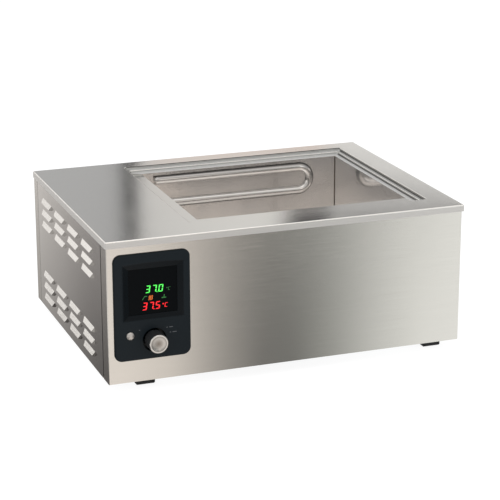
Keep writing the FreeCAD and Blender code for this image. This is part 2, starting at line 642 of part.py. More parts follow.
def disc(body, kind, name, centre, radius, along):
    """Pad or pocket a circle about an axis along Y: centre is (x, z), along is front and rear."""
    plane_y = along[1] if kind == "Pad" else along[0]
    sketch = new_sketch(body, name + "_circle", "XZ_Plane", (centre[0], centre[1], "-(%s)" % plane_y))
    draw_circle(sketch, radius)
    return solid_feature(body, kind, name, sketch, "(%s) - (%s)" % (along[1], along[0]))


def edges_where(feature, test):
    """Names of a feature's edges whose two ends pass a test."""
    names = []
    for index, edge in enumerate(feature.Shape.Edges, start=1):
        ends = [vertex.Point for vertex in edge.Vertexes]
        if len(ends) == 2 and test(*ends):
            names.append("Edge%d" % index)
    return names


def near(value, formula):
    """Whether a coordinate is where a formula says."""
    return abs(value - number(formula)) < 0.01


def ease(body, kind, name, feature, test, size):
    """Round or chamfer a feature's edges that pass a test."""
    item = body.newObject("PartDesign::" + kind, name)
    item.Base = (feature, edges_where(feature, test))
    item.setExpression("Radius" if kind == "Fillet" else "Size", bind(size))
    doc.recompute()
    return item


def upright(first, last):
    """Whether an edge runs along Z."""
    return abs(first.x - last.x) < 0.01 and abs(first.y - last.y) < 0.01


def along_y(first, last):
    """Whether an edge runs along Y."""
    return abs(first.x - last.x) < 0.01 and abs(first.z - last.z) < 0.01


def dome_middle(rim, pole):
    """A point half way along the arc from a rim point to a pole on the axis, centred on the axis."""
    centre_y = (rim.x ** 2 + rim.y ** 2 - pole.y ** 2) / (2 * (rim.y - pole.y))
    centre = Vector(0, centre_y, 0)
    halfway = (rim - centre) + (pole - centre)
    return centre + halfway.normalize() * abs(pole.y - centre_y)


def turned(name, axis, start, outline, domes=()):
    """A turned piece: an outline of (radius, distance along the axis) pairs, spun about +Y or +Z.

    domes holds the outline's sides, counted from nought, that are arcs ending on the axis.
    """
    body = new_body(name)
    if axis == "y":
        sketch = new_sketch(body, name + "_outline", "XY_Plane", start)
    else:
        sketch = new_sketch(body, name + "_outline", "XZ_Plane", (start[0], start[2], "-(%s)" % start[1]))
    points = [Vector(number(radius), number(reach), 0) for radius, reach in outline]
    ends = []
    for side, point in enumerate(points):
        after = points[(side + 1) % len(points)]
        if side in domes:
            rim, pole = (point, after) if point.x > after.x else (after, point)
            sketch.addGeometry(Part.Arc(point, dome_middle(rim, pole), after), False)
            sketch.addConstraint(Sketcher.Constraint("PointOnObject", side, 3, -2))
        else:
            sketch.addGeometry(Part.LineSegment(point, after), False)
        ends.append((1, 2) if sketch.getPoint(side, 1).distanceToPoint(point) < 1e-6 else (2, 1))
    for side in range(len(points)):
        after = (side + 1) % len(points)
        sketch.addConstraint(Sketcher.Constraint("Coincident", side, ends[side][1], after, ends[after][0]))
    for side, (radius, reach) in enumerate(outline):
        measure(sketch, "DistanceX", (-1, 1), (side, ends[side][0]), radius)
        measure(sketch, "DistanceY", (-1, 1), (side, ends[side][0]), reach)
    spin = body.newObject("PartDesign::Revolution", name + "_spin")
    spin.Profile = sketch
    spin.ReferenceAxis = (sketch, ["V_Axis"])
    spin.Angle = 360
    doc.recompute()
    return body


def lead(name, stops, radius, bend):
    """A round lead along straight runs joined by tangent arcs, as one solid."""
    points = [Vector(*(number(part) for part in stop)) for stop in stops]
    bend_radius, edges, start = number(bend), [], points[0]
    for before, corner, after in zip(points, points[1:], points[2:]):
        back = (before - corner).normalize()
        ahead = (after - corner).normalize()
        half_turn = back.getAngle(ahead) / 2
        reach = bend_radius / math.tan(half_turn)
        enter, leave = corner + back * reach, corner + ahead * reach
        centre = corner + (back + ahead).normalize() * (bend_radius ** 2 + reach ** 2) ** 0.5
        middle = centre + (corner - centre).normalize() * bend_radius
        edges.append(Part.LineSegment(start, enter).toShape())
        edges.append(Part.Arc(enter, middle, leave).toShape())
        start = leave
    edges.append(Part.LineSegment(start, points[-1]).toShape())
    path = Part.Wire(edges)
    section = Part.Wire([Part.Circle(points[0], points[1] - points[0], number(radius)).toShape()])
    solid = path.makePipeShell([section], True, False)
    if abs(solid.Volume - path.Length * number(radius) ** 2 * math.pi) > 0.01 * solid.Volume:
        raise ValueError(name + " has the wrong volume")
    item = doc.addObject("Part::Feature", name)
    item.Shape = solid
    return item


NODES = []


def keep(item, name):
    """List an object as one of the finished pieces under its node name."""
    item.Label = name
    NODES.append(item)
    return item


# ---------------------------------------------------------------------------------------------
# Case
# ---------------------------------------------------------------------------------------------
def make_deck():
    """One folded sheet over everything, with a skirt and a two-step recess round the tank."""
    body = new_body("top_deck")
    skirt_low = "overall_height - skirt_drop"
    under = "overall_height - gauge"
    sheet_pad = slab(body, "deck_blank", ("left_edge", "right_edge"), ("front_edge", "rear_edge"),
                     (skirt_low, "overall_height"))
    ease(body, "Fillet", "deck_folds", sheet_pad,
         lambda first, last: upright(first, last)
         or (near(first.z, "overall_height") and near(last.z, "overall_height")), "bend_radius")
    hollow(body, "deck_underside", ("left_edge + gauge", "right_edge - gauge"),
           ("front_edge + gauge", "rear_edge - gauge"), (skirt_low, under))
    slab(body, "upper_tray", ("rim_left - gauge", "rim_right + gauge"),
         ("rim_front - gauge", "rim_rear + gauge"), ("upper_ledge_z - gauge", under))
    slab(body, "lower_tray", ("step_left - gauge", "step_right + gauge"),
         ("step_front - gauge", "step_rear + gauge"),
         ("lower_ledge_z - gauge", "upper_ledge_z - gauge"))
    hollow(body, "upper_recess", ("rim_left", "rim_right"), ("rim_front", "rim_rear"),
           ("upper_ledge_z", "overall_height"))
    lower = hollow(body, "lower_recess", ("step_left", "step_right"), ("step_front", "step_rear"),
                   ("lower_ledge_z", "upper_ledge_z"))

    def recess_corner(first, last):
        """Whether an edge is an upright inner corner of one of the two steps."""
        sides = [("rim_left", "rim_right", "rim_front", "rim_rear"),
                 ("step_left", "step_right", "step_front", "step_rear")]
        return upright(first, last) and any(
            (near(first.x, left) or near(first.x, right)) and (near(first.y, front) or near(first.y, rear))
            for left, right, front, rear in sides)

    ease(body, "Fillet", "recess_corners", lower, recess_corner, "rim_corner")
    hollow(body, "tank_mouth", ("tank_left", "tank_right"), ("tank_front", "tank_rear"),
           ("lower_ledge_z - gauge", "lower_ledge_z"))
    keep(body, "top_deck")


def bead_parts(name, radius):
    """The hairpin bead or its channel as legs, bend and rounded ends."""
    legs = [rod("%s_leg_%d" % (name, side), "x", ("rib_left", "tank_rear", height), radius,
                "rib_right - rib_left")
            for side, height in enumerate(("rib_upper_z", "rib_lower_z"))]
    ends = [ball("%s_end_%d" % (name, side), ("rib_left", "tank_rear", height), radius)
            for side, height in enumerate(("rib_upper_z", "rib_lower_z"))]
    bend = half_ring(name + "_bend", ("rib_right", "tank_rear", "rib_middle_z"), "rib_spacing / 2", radius)
    return legs + ends + [bend]


def make_tank():
    """The welded tank with its flange, its drain hole and the hairpin bead of the heater channel."""
    along = ("tank_front - gauge", "tank_rear + gauge")
    outside = block("tank_outside", ("tank_left - gauge", "tank_right + gauge"), along,
                    ("tank_floor_z - gauge", "tank_rim_z"))
    flange = block("tank_flange_sheet", ("tank_left - tank_flange", "tank_right + tank_flange"),
                   ("tank_front - tank_flange", "tank_rear + tank_flange"),
                   ("tank_rim_z - gauge", "tank_rim_z"))
    inside = block("tank_inside", ("tank_left", "tank_right"), ("tank_front", "tank_rear"),
                   ("tank_floor_z", "tank_rim_z"))
    shell = cut("tank_shell", fuse("tank_blank", [outside, flange]), [inside])
    bead_limit = block("bead_limit", ("tank_left", "tank_right"), ("tank_rear - rib_radius", "wall_back"),
                       ("tank_floor_z", "tank_rim_z"))
    bead = doc.addObject("Part::MultiCommon", "bead")
    bead.Shapes = [bead_limit, fuse("bead_solid", bead_parts("bead", "rib_radius"))]
    drain_hole = rod("tank_drain_hole", "z", ("drain_x", "drain_y", "tank_floor_z - 2 * gauge"),
                     "drain_bore", "3 * gauge")
    keep(cut("tank", fuse("tank_with_bead", [shell, bead]),
             bead_parts("channel", "channel_radius") + [drain_hole]), "tank")


def make_wrapped_panel(name, face, inner, ends, floor_end, openings, holes=()):
    """A front or rear panel: a face, returns round both corners, inward folds and a floor fold.

    face and inner are the face's outside and inside; ends are where a return and its fold end.
    """
    body = new_body(name)
    height = ("foot_height", "panel_top")
    ordered = sorted((face, inner), key=number)
    pad = slab(body, name + "_face", ("left_face", "right_face"), ordered, height)
    ease(body, "Fillet", name + "_corners", pad,
         lambda first, last: upright(first, last) and near(first.y, face), "panel_corner")
    tip, root = ends
    fold = sorted((tip, root), key=number)
    wrap = sorted((inner, tip), key=number)
    for side, near_x, far_x, fold_x in (("left", "left_face", "left_face + gauge", "left_face + fold_depth"),
                                        ("right", "right_face - gauge", "right_face",
                                         "right_face - fold_depth")):
        slab(body, "%s_%s_return" % (name, side), (near_x, far_x), wrap, height)
        across = (near_x, fold_x) if side == "left" else (fold_x, far_x)
        slab(body, "%s_%s_fold" % (name, side), across, fold, ("fold_low", "panel_top"))
    slab(body, name + "_floor_fold", ("left_face + gauge", "right_face - gauge"),
         sorted((inner, floor_end), key=number), ("foot_height", "foot_height + gauge"))
    for opening, across, upward in openings:
        hollow(body, "%s_%s" % (name, opening), across, ordered, upward)
    for index, centre in enumerate(holes):
        disc(body, "Pocket", "%s_hole_%d" % (name, index), centre, "rear_screw_radius + running_fit",
             ordered)
    keep(body, name)


def make_front_panel():
    """The front panel with the opening for the control housing."""
    inset = "housing_inset - panel_fit"
    opening = ("control_opening", ("bezel_left + " + inset, "bezel_right - (%s)" % inset),
               ("bezel_low + " + inset, "bezel_high - (%s)" % inset))
    make_wrapped_panel("front_panel", "front_face", "front_face + gauge",
                       ("front_return", "front_return - gauge"),
                       "front_face + floor_fold", [opening])


REAR_SCREWS = [(x, z) for z in ("foot_height + rear_screw_low", "overall_height - rear_screw_high")
               for x in ("left_face + rear_screw_side", "bay_wall + rear_screw_middle",
                         "right_face - rear_screw_side")]
AIR_SLOTS = 6


def make_rear_panel():
    """The rear panel with openings for the mains inlet, the drain and the air slots."""
    half_wide = "inlet_width / 2 + panel_fit"
    half_tall = "inlet_tall / 2 + panel_fit"
    pipe = "drain_pipe_radius + panel_fit"
    openings = [("inlet_opening", ("inlet_x - (%s)" % half_wide, "inlet_x + " + half_wide),
                 ("inlet_z - (%s)" % half_tall, "inlet_z + " + half_tall)),
                ("drain_opening", ("drain_x - (%s)" % pipe, "drain_x + " + pipe),
                 ("drain_z - (%s)" % pipe, "drain_z + " + pipe))]
    for slot in range(AIR_SLOTS):
        low = "overall_height - air_slot_drop - %d * air_slot_pitch" % slot
        across = ("inlet_x - air_slot_length / 2", "inlet_x + air_slot_length / 2")
        openings.append(("air_slot_%d" % slot, across, (low, low + " + air_slot_height")))
    make_wrapped_panel("rear_panel", "rear_face", "rear_face - gauge",
                       ("rear_return", "rear_return + gauge"),
                       "rear_face - floor_fold", openings, REAR_SCREWS)
    screws = []
    for index, (x, z) in enumerate(REAR_SCREWS):
        head = rod("rear_screw_head_%d" % index, "y", (x, "rear_face", z), "rear_screw_head",
                   "rear_screw_head_thick")
        shank = rod("rear_screw_shank_%d" % index, "y", (x, "rear_face - rear_screw_length", z),
                    "rear_screw_radius", "rear_screw_length")
        screws.append(fuse("rear_screw_%d" % index, [head, shank]))
    keep(group("rear_panel_screws", screws), "rear_panel_screws")


def side_sheet(name, face, inner, fold_end, floor_end):
    """The sheet of a side panel with its upright folds and its floor fold."""
    skin = sorted((face, inner), key=number)
    fold = sorted((inner, fold_end), key=number)
    return [
        block(name + "_skin", skin, ("side_front", "side_rear"), ("foot_height", "panel_top")),
        block(name + "_front_fold", fold, ("side_front", "side_front + gauge"), ("fold_low", "panel_top")),
        block(name + "_rear_fold", fold, ("side_rear - gauge", "side_rear"), ("fold_low", "panel_top")),
        block(name + "_floor_fold", sorted((inner, floor_end), key=number), ("side_front", "side_rear"),
              ("foot_height", "foot_height + gauge")),
    ]


def louvre(name, column, group_number, row, hollowed):
    """One louvre's hood or the space inside it, pointing to the left."""
    item = doc.addObject("Part::Wedge", name)
    item.Placement = Placement(Vector(), Rotation(Vector(0, 0, 1), 90))
    half, edge = "louvre_width / 2", "louvre_edge / 2"
    start, reach, low, high, lip = "0", "louvre_reach", "0", "louvre_drop", "louvre_lip"
    if hollowed:
        half, edge = "louvre_width / 2 - gauge", "louvre_edge / 2 - gauge"
        start, low, lip = "-gauge - seat_gap", "-louvre_lip", "-louvre_lip"
        high = "louvre_drop - louvre_cut + louvre_slope * (gauge + seat_gap)"
        reach = "(louvre_drop - louvre_cut + louvre_lip) / louvre_slope"
    for size, formula in (("Xmin", "-(%s)" % half), ("Xmax", half), ("X2min", "-(%s)" % edge),
                          ("X2max", edge), ("Ymin", start), ("Ymax", reach), ("Zmin", low),
                          ("Zmax", high), ("Z2min", low), ("Z2max", lip)):
        item.setExpression(size, bind(formula))
    top = "overall_height - louvre_upper_drop - %d * louvre_group_drop - %d * louvre_row_pitch"
    place(item, ("left_face",
                 "rear_edge - louvre_rear_inset - %d * louvre_column_pitch" % column,
                 (top % (group_number, row)) + " - louvre_drop"))
    return item


def make_side_panels():
    """The louvred left panel and the plain right panel."""
    left = side_sheet("left_side", "left_face", "left_face + gauge", "left_face + fold_depth",
                      "left_face + floor_fold")
    spots = [(column, part, row) for part in range(2) for row in range(3) for column in range(4)]
    hoods = [louvre("hood_%d%d%d" % spot, *spot, False) for spot in spots]
    spaces = [louvre("space_%d%d%d" % spot, *spot, True) for spot in spots]
    keep(cut("left_side_panel", fuse("left_side_blank", left + hoods), spaces), "left_side_panel")
    right = side_sheet("right_side", "right_face", "right_face - gauge", "right_face - fold_depth",
                       "right_face - floor_fold")
    keep(fuse("right_side_panel", right), "right_side_panel")


FEET = {
    "front_left": ("left_edge + foot_left_inset", "front_edge + foot_end_inset"),
    "front_right": ("right_edge - foot_right_inset", "front_edge + foot_end_inset"),
    "rear_left": ("left_edge + foot_left_inset", "rear_edge - foot_end_inset"),
    "rear_right": ("right_edge - foot_right_inset", "rear_edge - foot_end_inset"),
}


def make_feet():
    """Four rubber blocks, each held up by a screw into a nut on the base plate."""
    half = "foot_width / 2"
    screws, nuts = [], []
    for spot, (x, y) in FEET.items():
        body = new_body("foot_" + spot)
        pad = slab(body, "foot_block_" + spot, ("%s - %s" % (x, half), "%s + %s" % (x, half)),
                   ("%s - %s" % (y, half), "%s + %s" % (y, half)), ("0", "base_low"))
        ease(body, "Chamfer", "foot_edges_" + spot, pad,
             lambda first, last: upright(first, last) or (near(first.z, "0") and near(last.z, "0")),
             "foot_edge")
        for part, radius, low, high in (("bore", "foot_bore", "0", "base_low"),
                                        ("sink", "foot_sink", "0", "foot_sink_depth")):
            sketch = new_sketch(body, "foot_%s_%s_circle" % (part, spot), "XY_Plane", (x, y, high))
            draw_circle(sketch, radius)
            solid_feature(body, "Pocket", "foot_%s_%s" % (part, spot), sketch, "%s - (%s)" % (high, low))
        keep(body, "foot_" + spot)
        head = rod("screw_head_" + spot, "z", (x, y, "foot_sink_depth - screw_head_height"),
                   "screw_head_radius", "screw_head_height")
        shank = rod("screw_shank_" + spot, "z", (x, y, "foot_sink_depth"), "screw_radius",
                    "base_top + screw_above_plate - foot_sink_depth")
        screws.append(fuse("foot_screw_" + spot, [head, shank]))
        collar = rod("nut_collar_" + spot, "z", (x, y, "base_top"), "screw_head_radius",
                     "foot_nut_height")
        nuts.append(cut("foot_nut_" + spot, collar,
                        [rod("nut_bore_" + spot, "z", (x, y, "base_top - overshoot"),
                             "screw_radius + running_fit", "foot_nut_height + 2 * overshoot")]))
    keep(group("foot_fasteners", screws + nuts), "foot_fasteners")


BASE_SLOTS = 8


def make_base():
    """The base plate on the panels' floor folds, and the bay's wall with its grommet hole."""
    plate = block("base_sheet", ("left_inside", "right_inside"), ("front_inside", "rear_inside"),
                  ("base_low", "base_top"))
    holes = [rod("base_hole_" + spot, "z", (x, y, "base_low - gauge"), "foot_bore", "3 * gauge")
             for spot, (x, y) in FEET.items()]
    slots = []
    for slot in range(BASE_SLOTS):
        start = "mains_left + base_slot_inset + %d * base_slot_pitch" % slot
        slots.append(block("base_slot_%d" % slot, (start, start + " + base_slot_width"),
                           ("base_slots_y", "base_slots_y + base_slot_length"),
                           ("base_low - gauge", "base_top + gauge")))
    keep(cut("base_plate", plate, holes + slots), "base_plate")
    wall = block("bay_wall_sheet", ("bay_wall - gauge", "bay_wall"),
                 ("front_inside + fold_depth", "rear_inside - fold_depth"), ("base_top", "panel_top"))
    foot = block("bay_wall_foot", ("bay_wall - gauge - fold_depth", "bay_wall"),
                 ("front_inside + fold_depth", "rear_inside - fold_depth"),
                 ("base_top", "base_top + gauge"))
    hole = rod("bay_wall_hole", "x", ("bay_wall - 3 * gauge", "grommet_y", "grommet_z"),
               "grommet_radius", "5 * gauge")
    notch = block("bay_wall_notch", ("bay_wall - 3 * gauge", "bay_wall + gauge"),
                  ("stud_y - notch_front", "rear_inside"),
                  ("rib_lower_z - notch_margin", "rib_upper_z + notch_margin"))
    keep(cut("bay_wall", fuse("bay_wall_blank", [wall, foot]), [hole, notch]), "bay_wall")


# ---------------------------------------------------------------------------------------------
# Heater, probes and insulation
# ---------------------------------------------------------------------------------------------
def make_heater():
    """The hairpin tube in the bead's channel and the sheet that holds it there."""
    heights = ("rib_upper_z", "rib_lower_z")
    pieces = [half_ring("heater_bend", ("rib_right", "heater_y", "rib_middle_z"), "rib_spacing / 2",
                        "heater_radius")]
    for side, height in enumerate(heights):
        corner = ("rib_left", "heater_y", height)
        pieces.append(rod("heater_leg_%d" % side, "x", corner, "heater_radius", "rib_right - rib_left"))
        pieces.append(ball("heater_corner_%d" % side, corner, "heater_radius"))
        pieces.append(rod("heater_end_%d" % side, "y", corner, "heater_radius", "cold_end_length"))
        pieces.append(rod("heater_stud_%d" % side, "y",
                          ("rib_left", "heater_y + cold_end_length", height), "stud_radius", "stud_length"))
    keep(fuse("rear_heater", pieces), "rear_heater")
    across = ("rib_left + plate_inset", "rib_right + rib_spacing / 2 + rib_radius + plate_margin")
    web = block("plate_web", across, ("plate_front", "plate_front + gauge"), ("plate_low", "plate_high"))
    lips = [block("plate_lip_%d" % side, across, ("wall_back", "plate_front"), upward)
            for side, upward in enumerate((("plate_low", "plate_low + gauge"),
                                           ("plate_high - gauge", "plate_high")))]
    keep(fuse("heater_plate", [web] + lips), "heater_plate")


def make_probes():
    """Two welded pockets on the tank with the temperature sensor and the limiter's bulb."""
    tubes = []
    rods = []
    for name, height in (("temperature_sensor", "sensor_z"), ("limiter_bulb", "limiter_z")):
        start = ("pocket_x", "pocket_y", height)
        tube = rod(name + "_tube", "y", start, "pocket_radius", "pocket_length")
        bore = rod(name + "_bore", "y", ("pocket_x", "pocket_y - overshoot", height),
                   "probe_radius + probe_gap", "pocket_length + 2 * overshoot")
        tubes.append(cut(name + "_pocket", tube, [bore]))
        rods.append(rod(name, "y", ("pocket_x", "pocket_y - probe_end", height), "probe_radius",
                        "pocket_length - probe_short"))
    keep(rods[0], "temperature_sensor")
    rise_x = "bay_wall - gauge - capillary_offset"
    capillary = lead("capillary", [
        ("pocket_x", "pocket_y - probe_end / 2", "limiter_z"), ("pocket_x", "grommet_y", "limiter_z"),
        (rise_x, "grommet_y", "limiter_z"), (rise_x, "grommet_y", "limiter_z_middle"),
        (rise_x, "limiter_y", "limiter_z_middle")], "capillary_radius", "probe_bend")
    keep(fuse("limiter_probe", [rods[1], capillary]), "limiter_probe")
    keep(group("sensor_pockets", tubes), "sensor_pockets")
    flange = [rod("grommet_flange_%d" % side, "x", (x, "grommet_y", "grommet_z"),
                  "grommet_radius + grommet_lip", "grommet_lip")
              for side, x in enumerate(("bay_wall", "bay_wall - gauge - grommet_lip"))]
    core = rod("grommet_core", "x", ("bay_wall - gauge", "grommet_y", "grommet_z"), "grommet_radius",
               "gauge")
    bore = rod("grommet_bore", "x", ("bay_wall - gauge - grommet_lip - overshoot", "grommet_y", "grommet_z"),
               "grommet_radius - grommet_wall", "gauge + 2 * (grommet_lip + overshoot)")
    keep(cut("wall_grommet", fuse("grommet_blank", flange + [core]), [bore]), "wall_grommet")


def make_insulation():
    """Mineral wool mats round and under the tank."""
    upward = ("tank_floor_z", "mat_top")
    tank_across = ("tank_left", "tank_right")
    tank_along = ("tank_front", "tank_rear")
    mats = {
        "insulation_rear": (("rib_left + mat_inset", "tank_right"),
                            ("plate_front + gauge + mat_gap", "rear_inside - mat_gap"), upward),
        "insulation_front": (tank_across,
                             ("tank_front - gauge - mat_gap - mat_thick", "tank_front - gauge - mat_gap"),
                             upward),
        "insulation_right": (("tank_right + gauge + mat_gap", "tank_right + gauge + mat_gap + mat_thick"),
                             tank_along, upward),
        "insulation_left": (("bay_wall + mat_gap", "bay_wall + mat_gap + mat_left_thick"),
                            ("grommet_y + grommet_radius + grommet_clear", "tank_rear"), upward),
    }
    for name, (across, along, height) in mats.items():
        keep(block(name, across, along, height), name)
    under = block("floor_mat", tank_across, tank_along,
                  ("tank_floor_z - gauge - mat_gap - mat_floor_thick", "tank_floor_z - gauge - mat_gap"))
    hole = rod("floor_mat_hole", "z", ("drain_x", "drain_y", "drain_z"),
               "drain_pipe_radius + mat_drain_clear", "tank_floor_z - drain_z")
    keep(cut("insulation_floor", under, [hole]), "insulation_floor")


# ---------------------------------------------------------------------------------------------
# Controls
# ---------------------------------------------------------------------------------------------
def cut_display_recess(body):
    """Take the sloped, arch-topped display recess and the window's opening out of the bezel."""
    mouth = new_sketch(body, "recess_mouth", "XZ_Plane",
                       ("recess_left", "recess_low", "-(bezel_front - loft_lap)"))
    wide, tall, rise = (number(size) for size in ("recess_width", "recess_height", "recess_arch"))
    corners = [Vector(0, 0, 0), Vector(wide, 0, 0), Vector(wide, tall, 0), Vector(0, tall, 0)]
    mouth.addGeometry(Part.LineSegment(corners[0], corners[1]), False)
    mouth.addGeometry(Part.LineSegment(corners[1], corners[2]), False)
    mouth.addGeometry(Part.Arc(corners[2], Vector(wide / 2, tall + rise, 0), corners[3]), False)
    mouth.addGeometry(Part.LineSegment(corners[3], corners[0]), False)
    for side in range(4):
        mouth.addConstraint(Sketcher.Constraint("Coincident", side, 2, (side + 1) % 4, 1))
    mouth.addConstraint(Sketcher.Constraint("Coincident", 0, 1, -1, 1))
    mouth.addConstraint(Sketcher.Constraint("Horizontal", 0))
    mouth.addConstraint(Sketcher.Constraint("Vertical", 1))
    mouth.addConstraint(Sketcher.Constraint("Vertical", 3))
    measure(mouth, "DistanceX", (0, 1), (0, 2), "recess_width")
    measure(mouth, "DistanceY", (1, 1), (1, 2), "recess_height")
    measure(mouth, "DistanceY", (3, 2), (3, 1), "recess_height")
    radius = "recess_width ^ 2 / (8 * recess_arch) + recess_arch / 2"
    index = mouth.addConstraint(Sketcher.Constraint("Radius", 2, number(radius)))
    mouth.setExpression("Constraints[%d]" % index, bind(radius))
    throat = new_sketch(body, "recess_throat", "XZ_Plane",
                        ("window_left", "window_low", "-(bezel_front + recess_depth)"))
    draw_rectangle(throat, "window_width", "window_height")
    loft = body.newObject("PartDesign::SubtractiveLoft", "display_recess")
    loft.Profile = mouth
    loft.Sections = [throat]
    loft.Ruled = True
    doc.recompute()
    hollow(body, "window_opening", ("window_left", "window_left + window_width"),
           ("bezel_front + recess_depth - loft_lap", "bezel_back"),
           ("window_low", "window_low + window_height"))


BOSSES = [(x, z) for z in ("bezel_low + boss_inset", "bezel_high - boss_inset")
          for x in ("bezel_left + boss_inset", "bezel_right - boss_inset")]


def make_bezel():
    """The moulded control bezel: front plate, housing, knob well, button hole and display recess."""
    body = new_body("control_bezel")
    plate = slab(body, "bezel_plate", ("bezel_left", "bezel_right"), ("bezel_front", "front_face"),
                 ("bezel_low", "bezel_high"))
    rounded = ease(body, "Fillet", "bezel_corners", plate, along_y, "bezel_corner")
    ease(body, "Fillet", "bezel_front_edge", rounded,
         lambda first, last: near(first.y, "bezel_front") and near(last.y, "bezel_front"), "bezel_edge")
    slab(body, "housing", ("bezel_left + housing_inset", "bezel_right - housing_inset"),
         ("front_face", "front_face + housing_depth"),
         ("bezel_low + housing_inset", "bezel_high - housing_inset"))
    inside = "housing_inset + housing_wall"
    hollow(body, "housing_inside", ("bezel_left + " + inside, "bezel_right - (%s)" % inside),
           ("bezel_back", "front_face + housing_depth"),
           ("bezel_low + " + inside, "bezel_high - (%s)" % inside))
    knob_axis = ("knob_x", "knob_z")
    disc(body, "Pad", "well_boss", knob_axis, "well_radius + well_wall",
         ("bezel_back - overshoot", "well_floor + well_wall"))
    disc(body, "Pocket", "well", knob_axis, "well_radius", ("bezel_front", "well_floor"))
    disc(body, "Pocket", "sleeve_hole", knob_axis, "sleeve_radius + sleeve_clear",
         ("well_floor", "well_floor + well_wall"))
    disc(body, "Pocket", "button_hole", ("button_x", "button_z"), "button_radius + running_fit",
         ("bezel_front", "bezel_back"))
    for index, centre in enumerate(BOSSES):
        disc(body, "Pad", "board_boss_%d" % index, centre, "boss_radius",
             ("bezel_back - overshoot", "board_front"))
        disc(body, "Pocket", "board_boss_hole_%d" % index, centre, "boss_hole",
             ("board_front - boss_hole_depth", "board_front"))
    cut_display_recess(body)
    keep(body, "control_bezel")


def make_control_board():
    """The window, the display module and the board behind the bezel, with the board's screws."""
    lap = "window_lap"
    keep(block("display_window", ("window_left - " + lap, "window_left + window_width + " + lap),
               ("bezel_back", "bezel_back + window_thick"),
               ("window_low - " + lap, "window_low + window_height + " + lap)), "display_window")
    keep(block("display_module", ("window_left", "window_left + window_width"),
               ("bezel_back + window_thick + seat_gap", "board_front"),
               ("window_low", "window_low + window_height")), "display_module")
    inside = "housing_inset + housing_wall + mat_gap"
    board = block("control_board_sheet", ("bezel_left + " + inside, "bezel_right - (%s)" % inside),
                  ("board_front", "board_back"), ("bezel_low + " + inside, "bezel_high - (%s)" % inside))
    through = "board_thick + 2 * overshoot"
    holes = [rod("board_hole_%d" % index, "y", (x, "board_front - overshoot", z), "board_hole", through)
             for index, (x, z) in enumerate(BOSSES)]
    holes.append(rod("bush_hole", "y", ("knob_x", "board_front - overshoot", "knob_z"),
                     "bush_radius + seat_gap", through))
    keep(cut("control_board", board, holes), "control_board")
    screws = []
    for index, (x, z) in enumerate(BOSSES):
        head = rod("board_screw_head_%d" % index, "y", (x, "board_back", z), "board_screw_head",
                   "board_screw_head_thick")
        shank = rod("board_screw_shank_%d" % index, "y", (x, "board_front - board_screw_depth", z),
                    "board_screw_radius", "board_thick + board_screw_depth")
        screws.append(fuse("board_screw_%d" % index, [head, shank]))
    keep(group("board_screws", screws), "board_screws")
    half = "tactile_side / 2"
    keep(block("tactile_switch", ("button_x - " + half, "button_x + " + half),
               ("board_front - tactile_height", "board_front"),
               ("button_z - " + half, "button_z + " + half)), "tactile_switch")


def make_main_switch():
    """The push and turn control: switch body, sliding sleeve, encoder shaft, knob and metal cap."""
    x, z = "knob_x", "knob_z"
    cavity = "knob_travel + flange_thick + switch_spare"
    cavity_front = "board_back + switch_wall"
    case = block("switch_case", ("%s - switch_side / 2" % x, "%s + switch_side / 2" % x),
                 ("board_back", "%s + %s + switch_wall" % (cavity_front, cavity)),
                 ("%s - switch_side / 2" % z, "%s + switch_side / 2" % z))
    bush_front = "well_floor + well_wall"
    bush = rod("switch_bush", "y", (x, bush_front, z), "bush_radius", "board_back - (%s)" % bush_front)
    bore = rod("switch_bore", "y", (x, bush_front + " - overshoot", z), "sleeve_radius + running_fit",
               "%s - (%s) + 2 * overshoot" % (cavity_front, bush_front))
    room = rod("switch_room", "y", (x, cavity_front, z), "sleeve_flange + running_fit", cavity)
    keep(cut("main_switch", fuse("switch_blank", [case, bush]), [bore, room]), "main_switch")

    stop = cavity_front + " + running_fit"
    hub_end = "knob_back - hub_set_back"
    tube = rod("sleeve_tube", "y", (x, hub_end + " + seat_gap", z), "sleeve_radius",
               "%s + flange_thick - (%s + seat_gap)" % (stop, hub_end))
    flange = rod("sleeve_flange_disc", "y", (x, stop, z), "sleeve_flange", "flange_thick")
    bore = rod("sleeve_bore", "y", (x, hub_end + " - overshoot", z), "shaft_radius + running_fit",
               "%s + flange_thick + 2 * overshoot - (%s)" % (stop, hub_end))
    keep(cut("switch_sleeve", fuse("sleeve_blank", [tube, flange]), [bore]), "switch_sleeve")

    collar = "%s + flange_thick + seat_gap" % stop
    shaft_front = "knob_face + cap_thick + seat_gap"
    shaft = rod("shaft_rod", "y", (x, shaft_front, z), "shaft_radius",
                "%s + clip_thick - (%s)" % (collar, shaft_front))
    clip = rod("shaft_clip", "y", (x, collar, z), "shaft_radius + clip_rim", "clip_thick")
    keep(fuse("encoder_shaft", [shaft, clip]), "encoder_shaft")

    length = "knob_reach + knob_set_in"
    inner = "knob_radius - knob_wall"
    bore_radius = "shaft_radius + running_fit"
    keep(turned("control_knob", "y", (x, "knob_face", z), [
        (bore_radius, "cap_thick"), ("cap_radius + running_fit", "cap_thick"),
        ("cap_radius + running_fit", "shell_behind_cap"),
        ("knob_radius - knob_edge_width", "shell_behind_cap"),
        ("knob_radius", "shell_behind_cap + knob_edge_depth"),
        ("knob_radius", length), (inner, length), (inner, "cap_thick + knob_wall"),
        ("hub_radius", "cap_thick + knob_wall"), ("hub_radius", length + " - hub_set_back"),
        (bore_radius, length + " - hub_set_back"),
    ]), "control_knob")
    keep(turned("knob_cap", "y", (x, "knob_face", z), [
        ("cap_radius - cap_rim", "0"), ("cap_radius - cap_edge", "0"), ("cap_radius", "cap_edge"),
        ("cap_radius", "cap_thick"), ("0", "cap_thick"), ("0", "cap_dish"),
    ], domes={5}), "knob_cap")


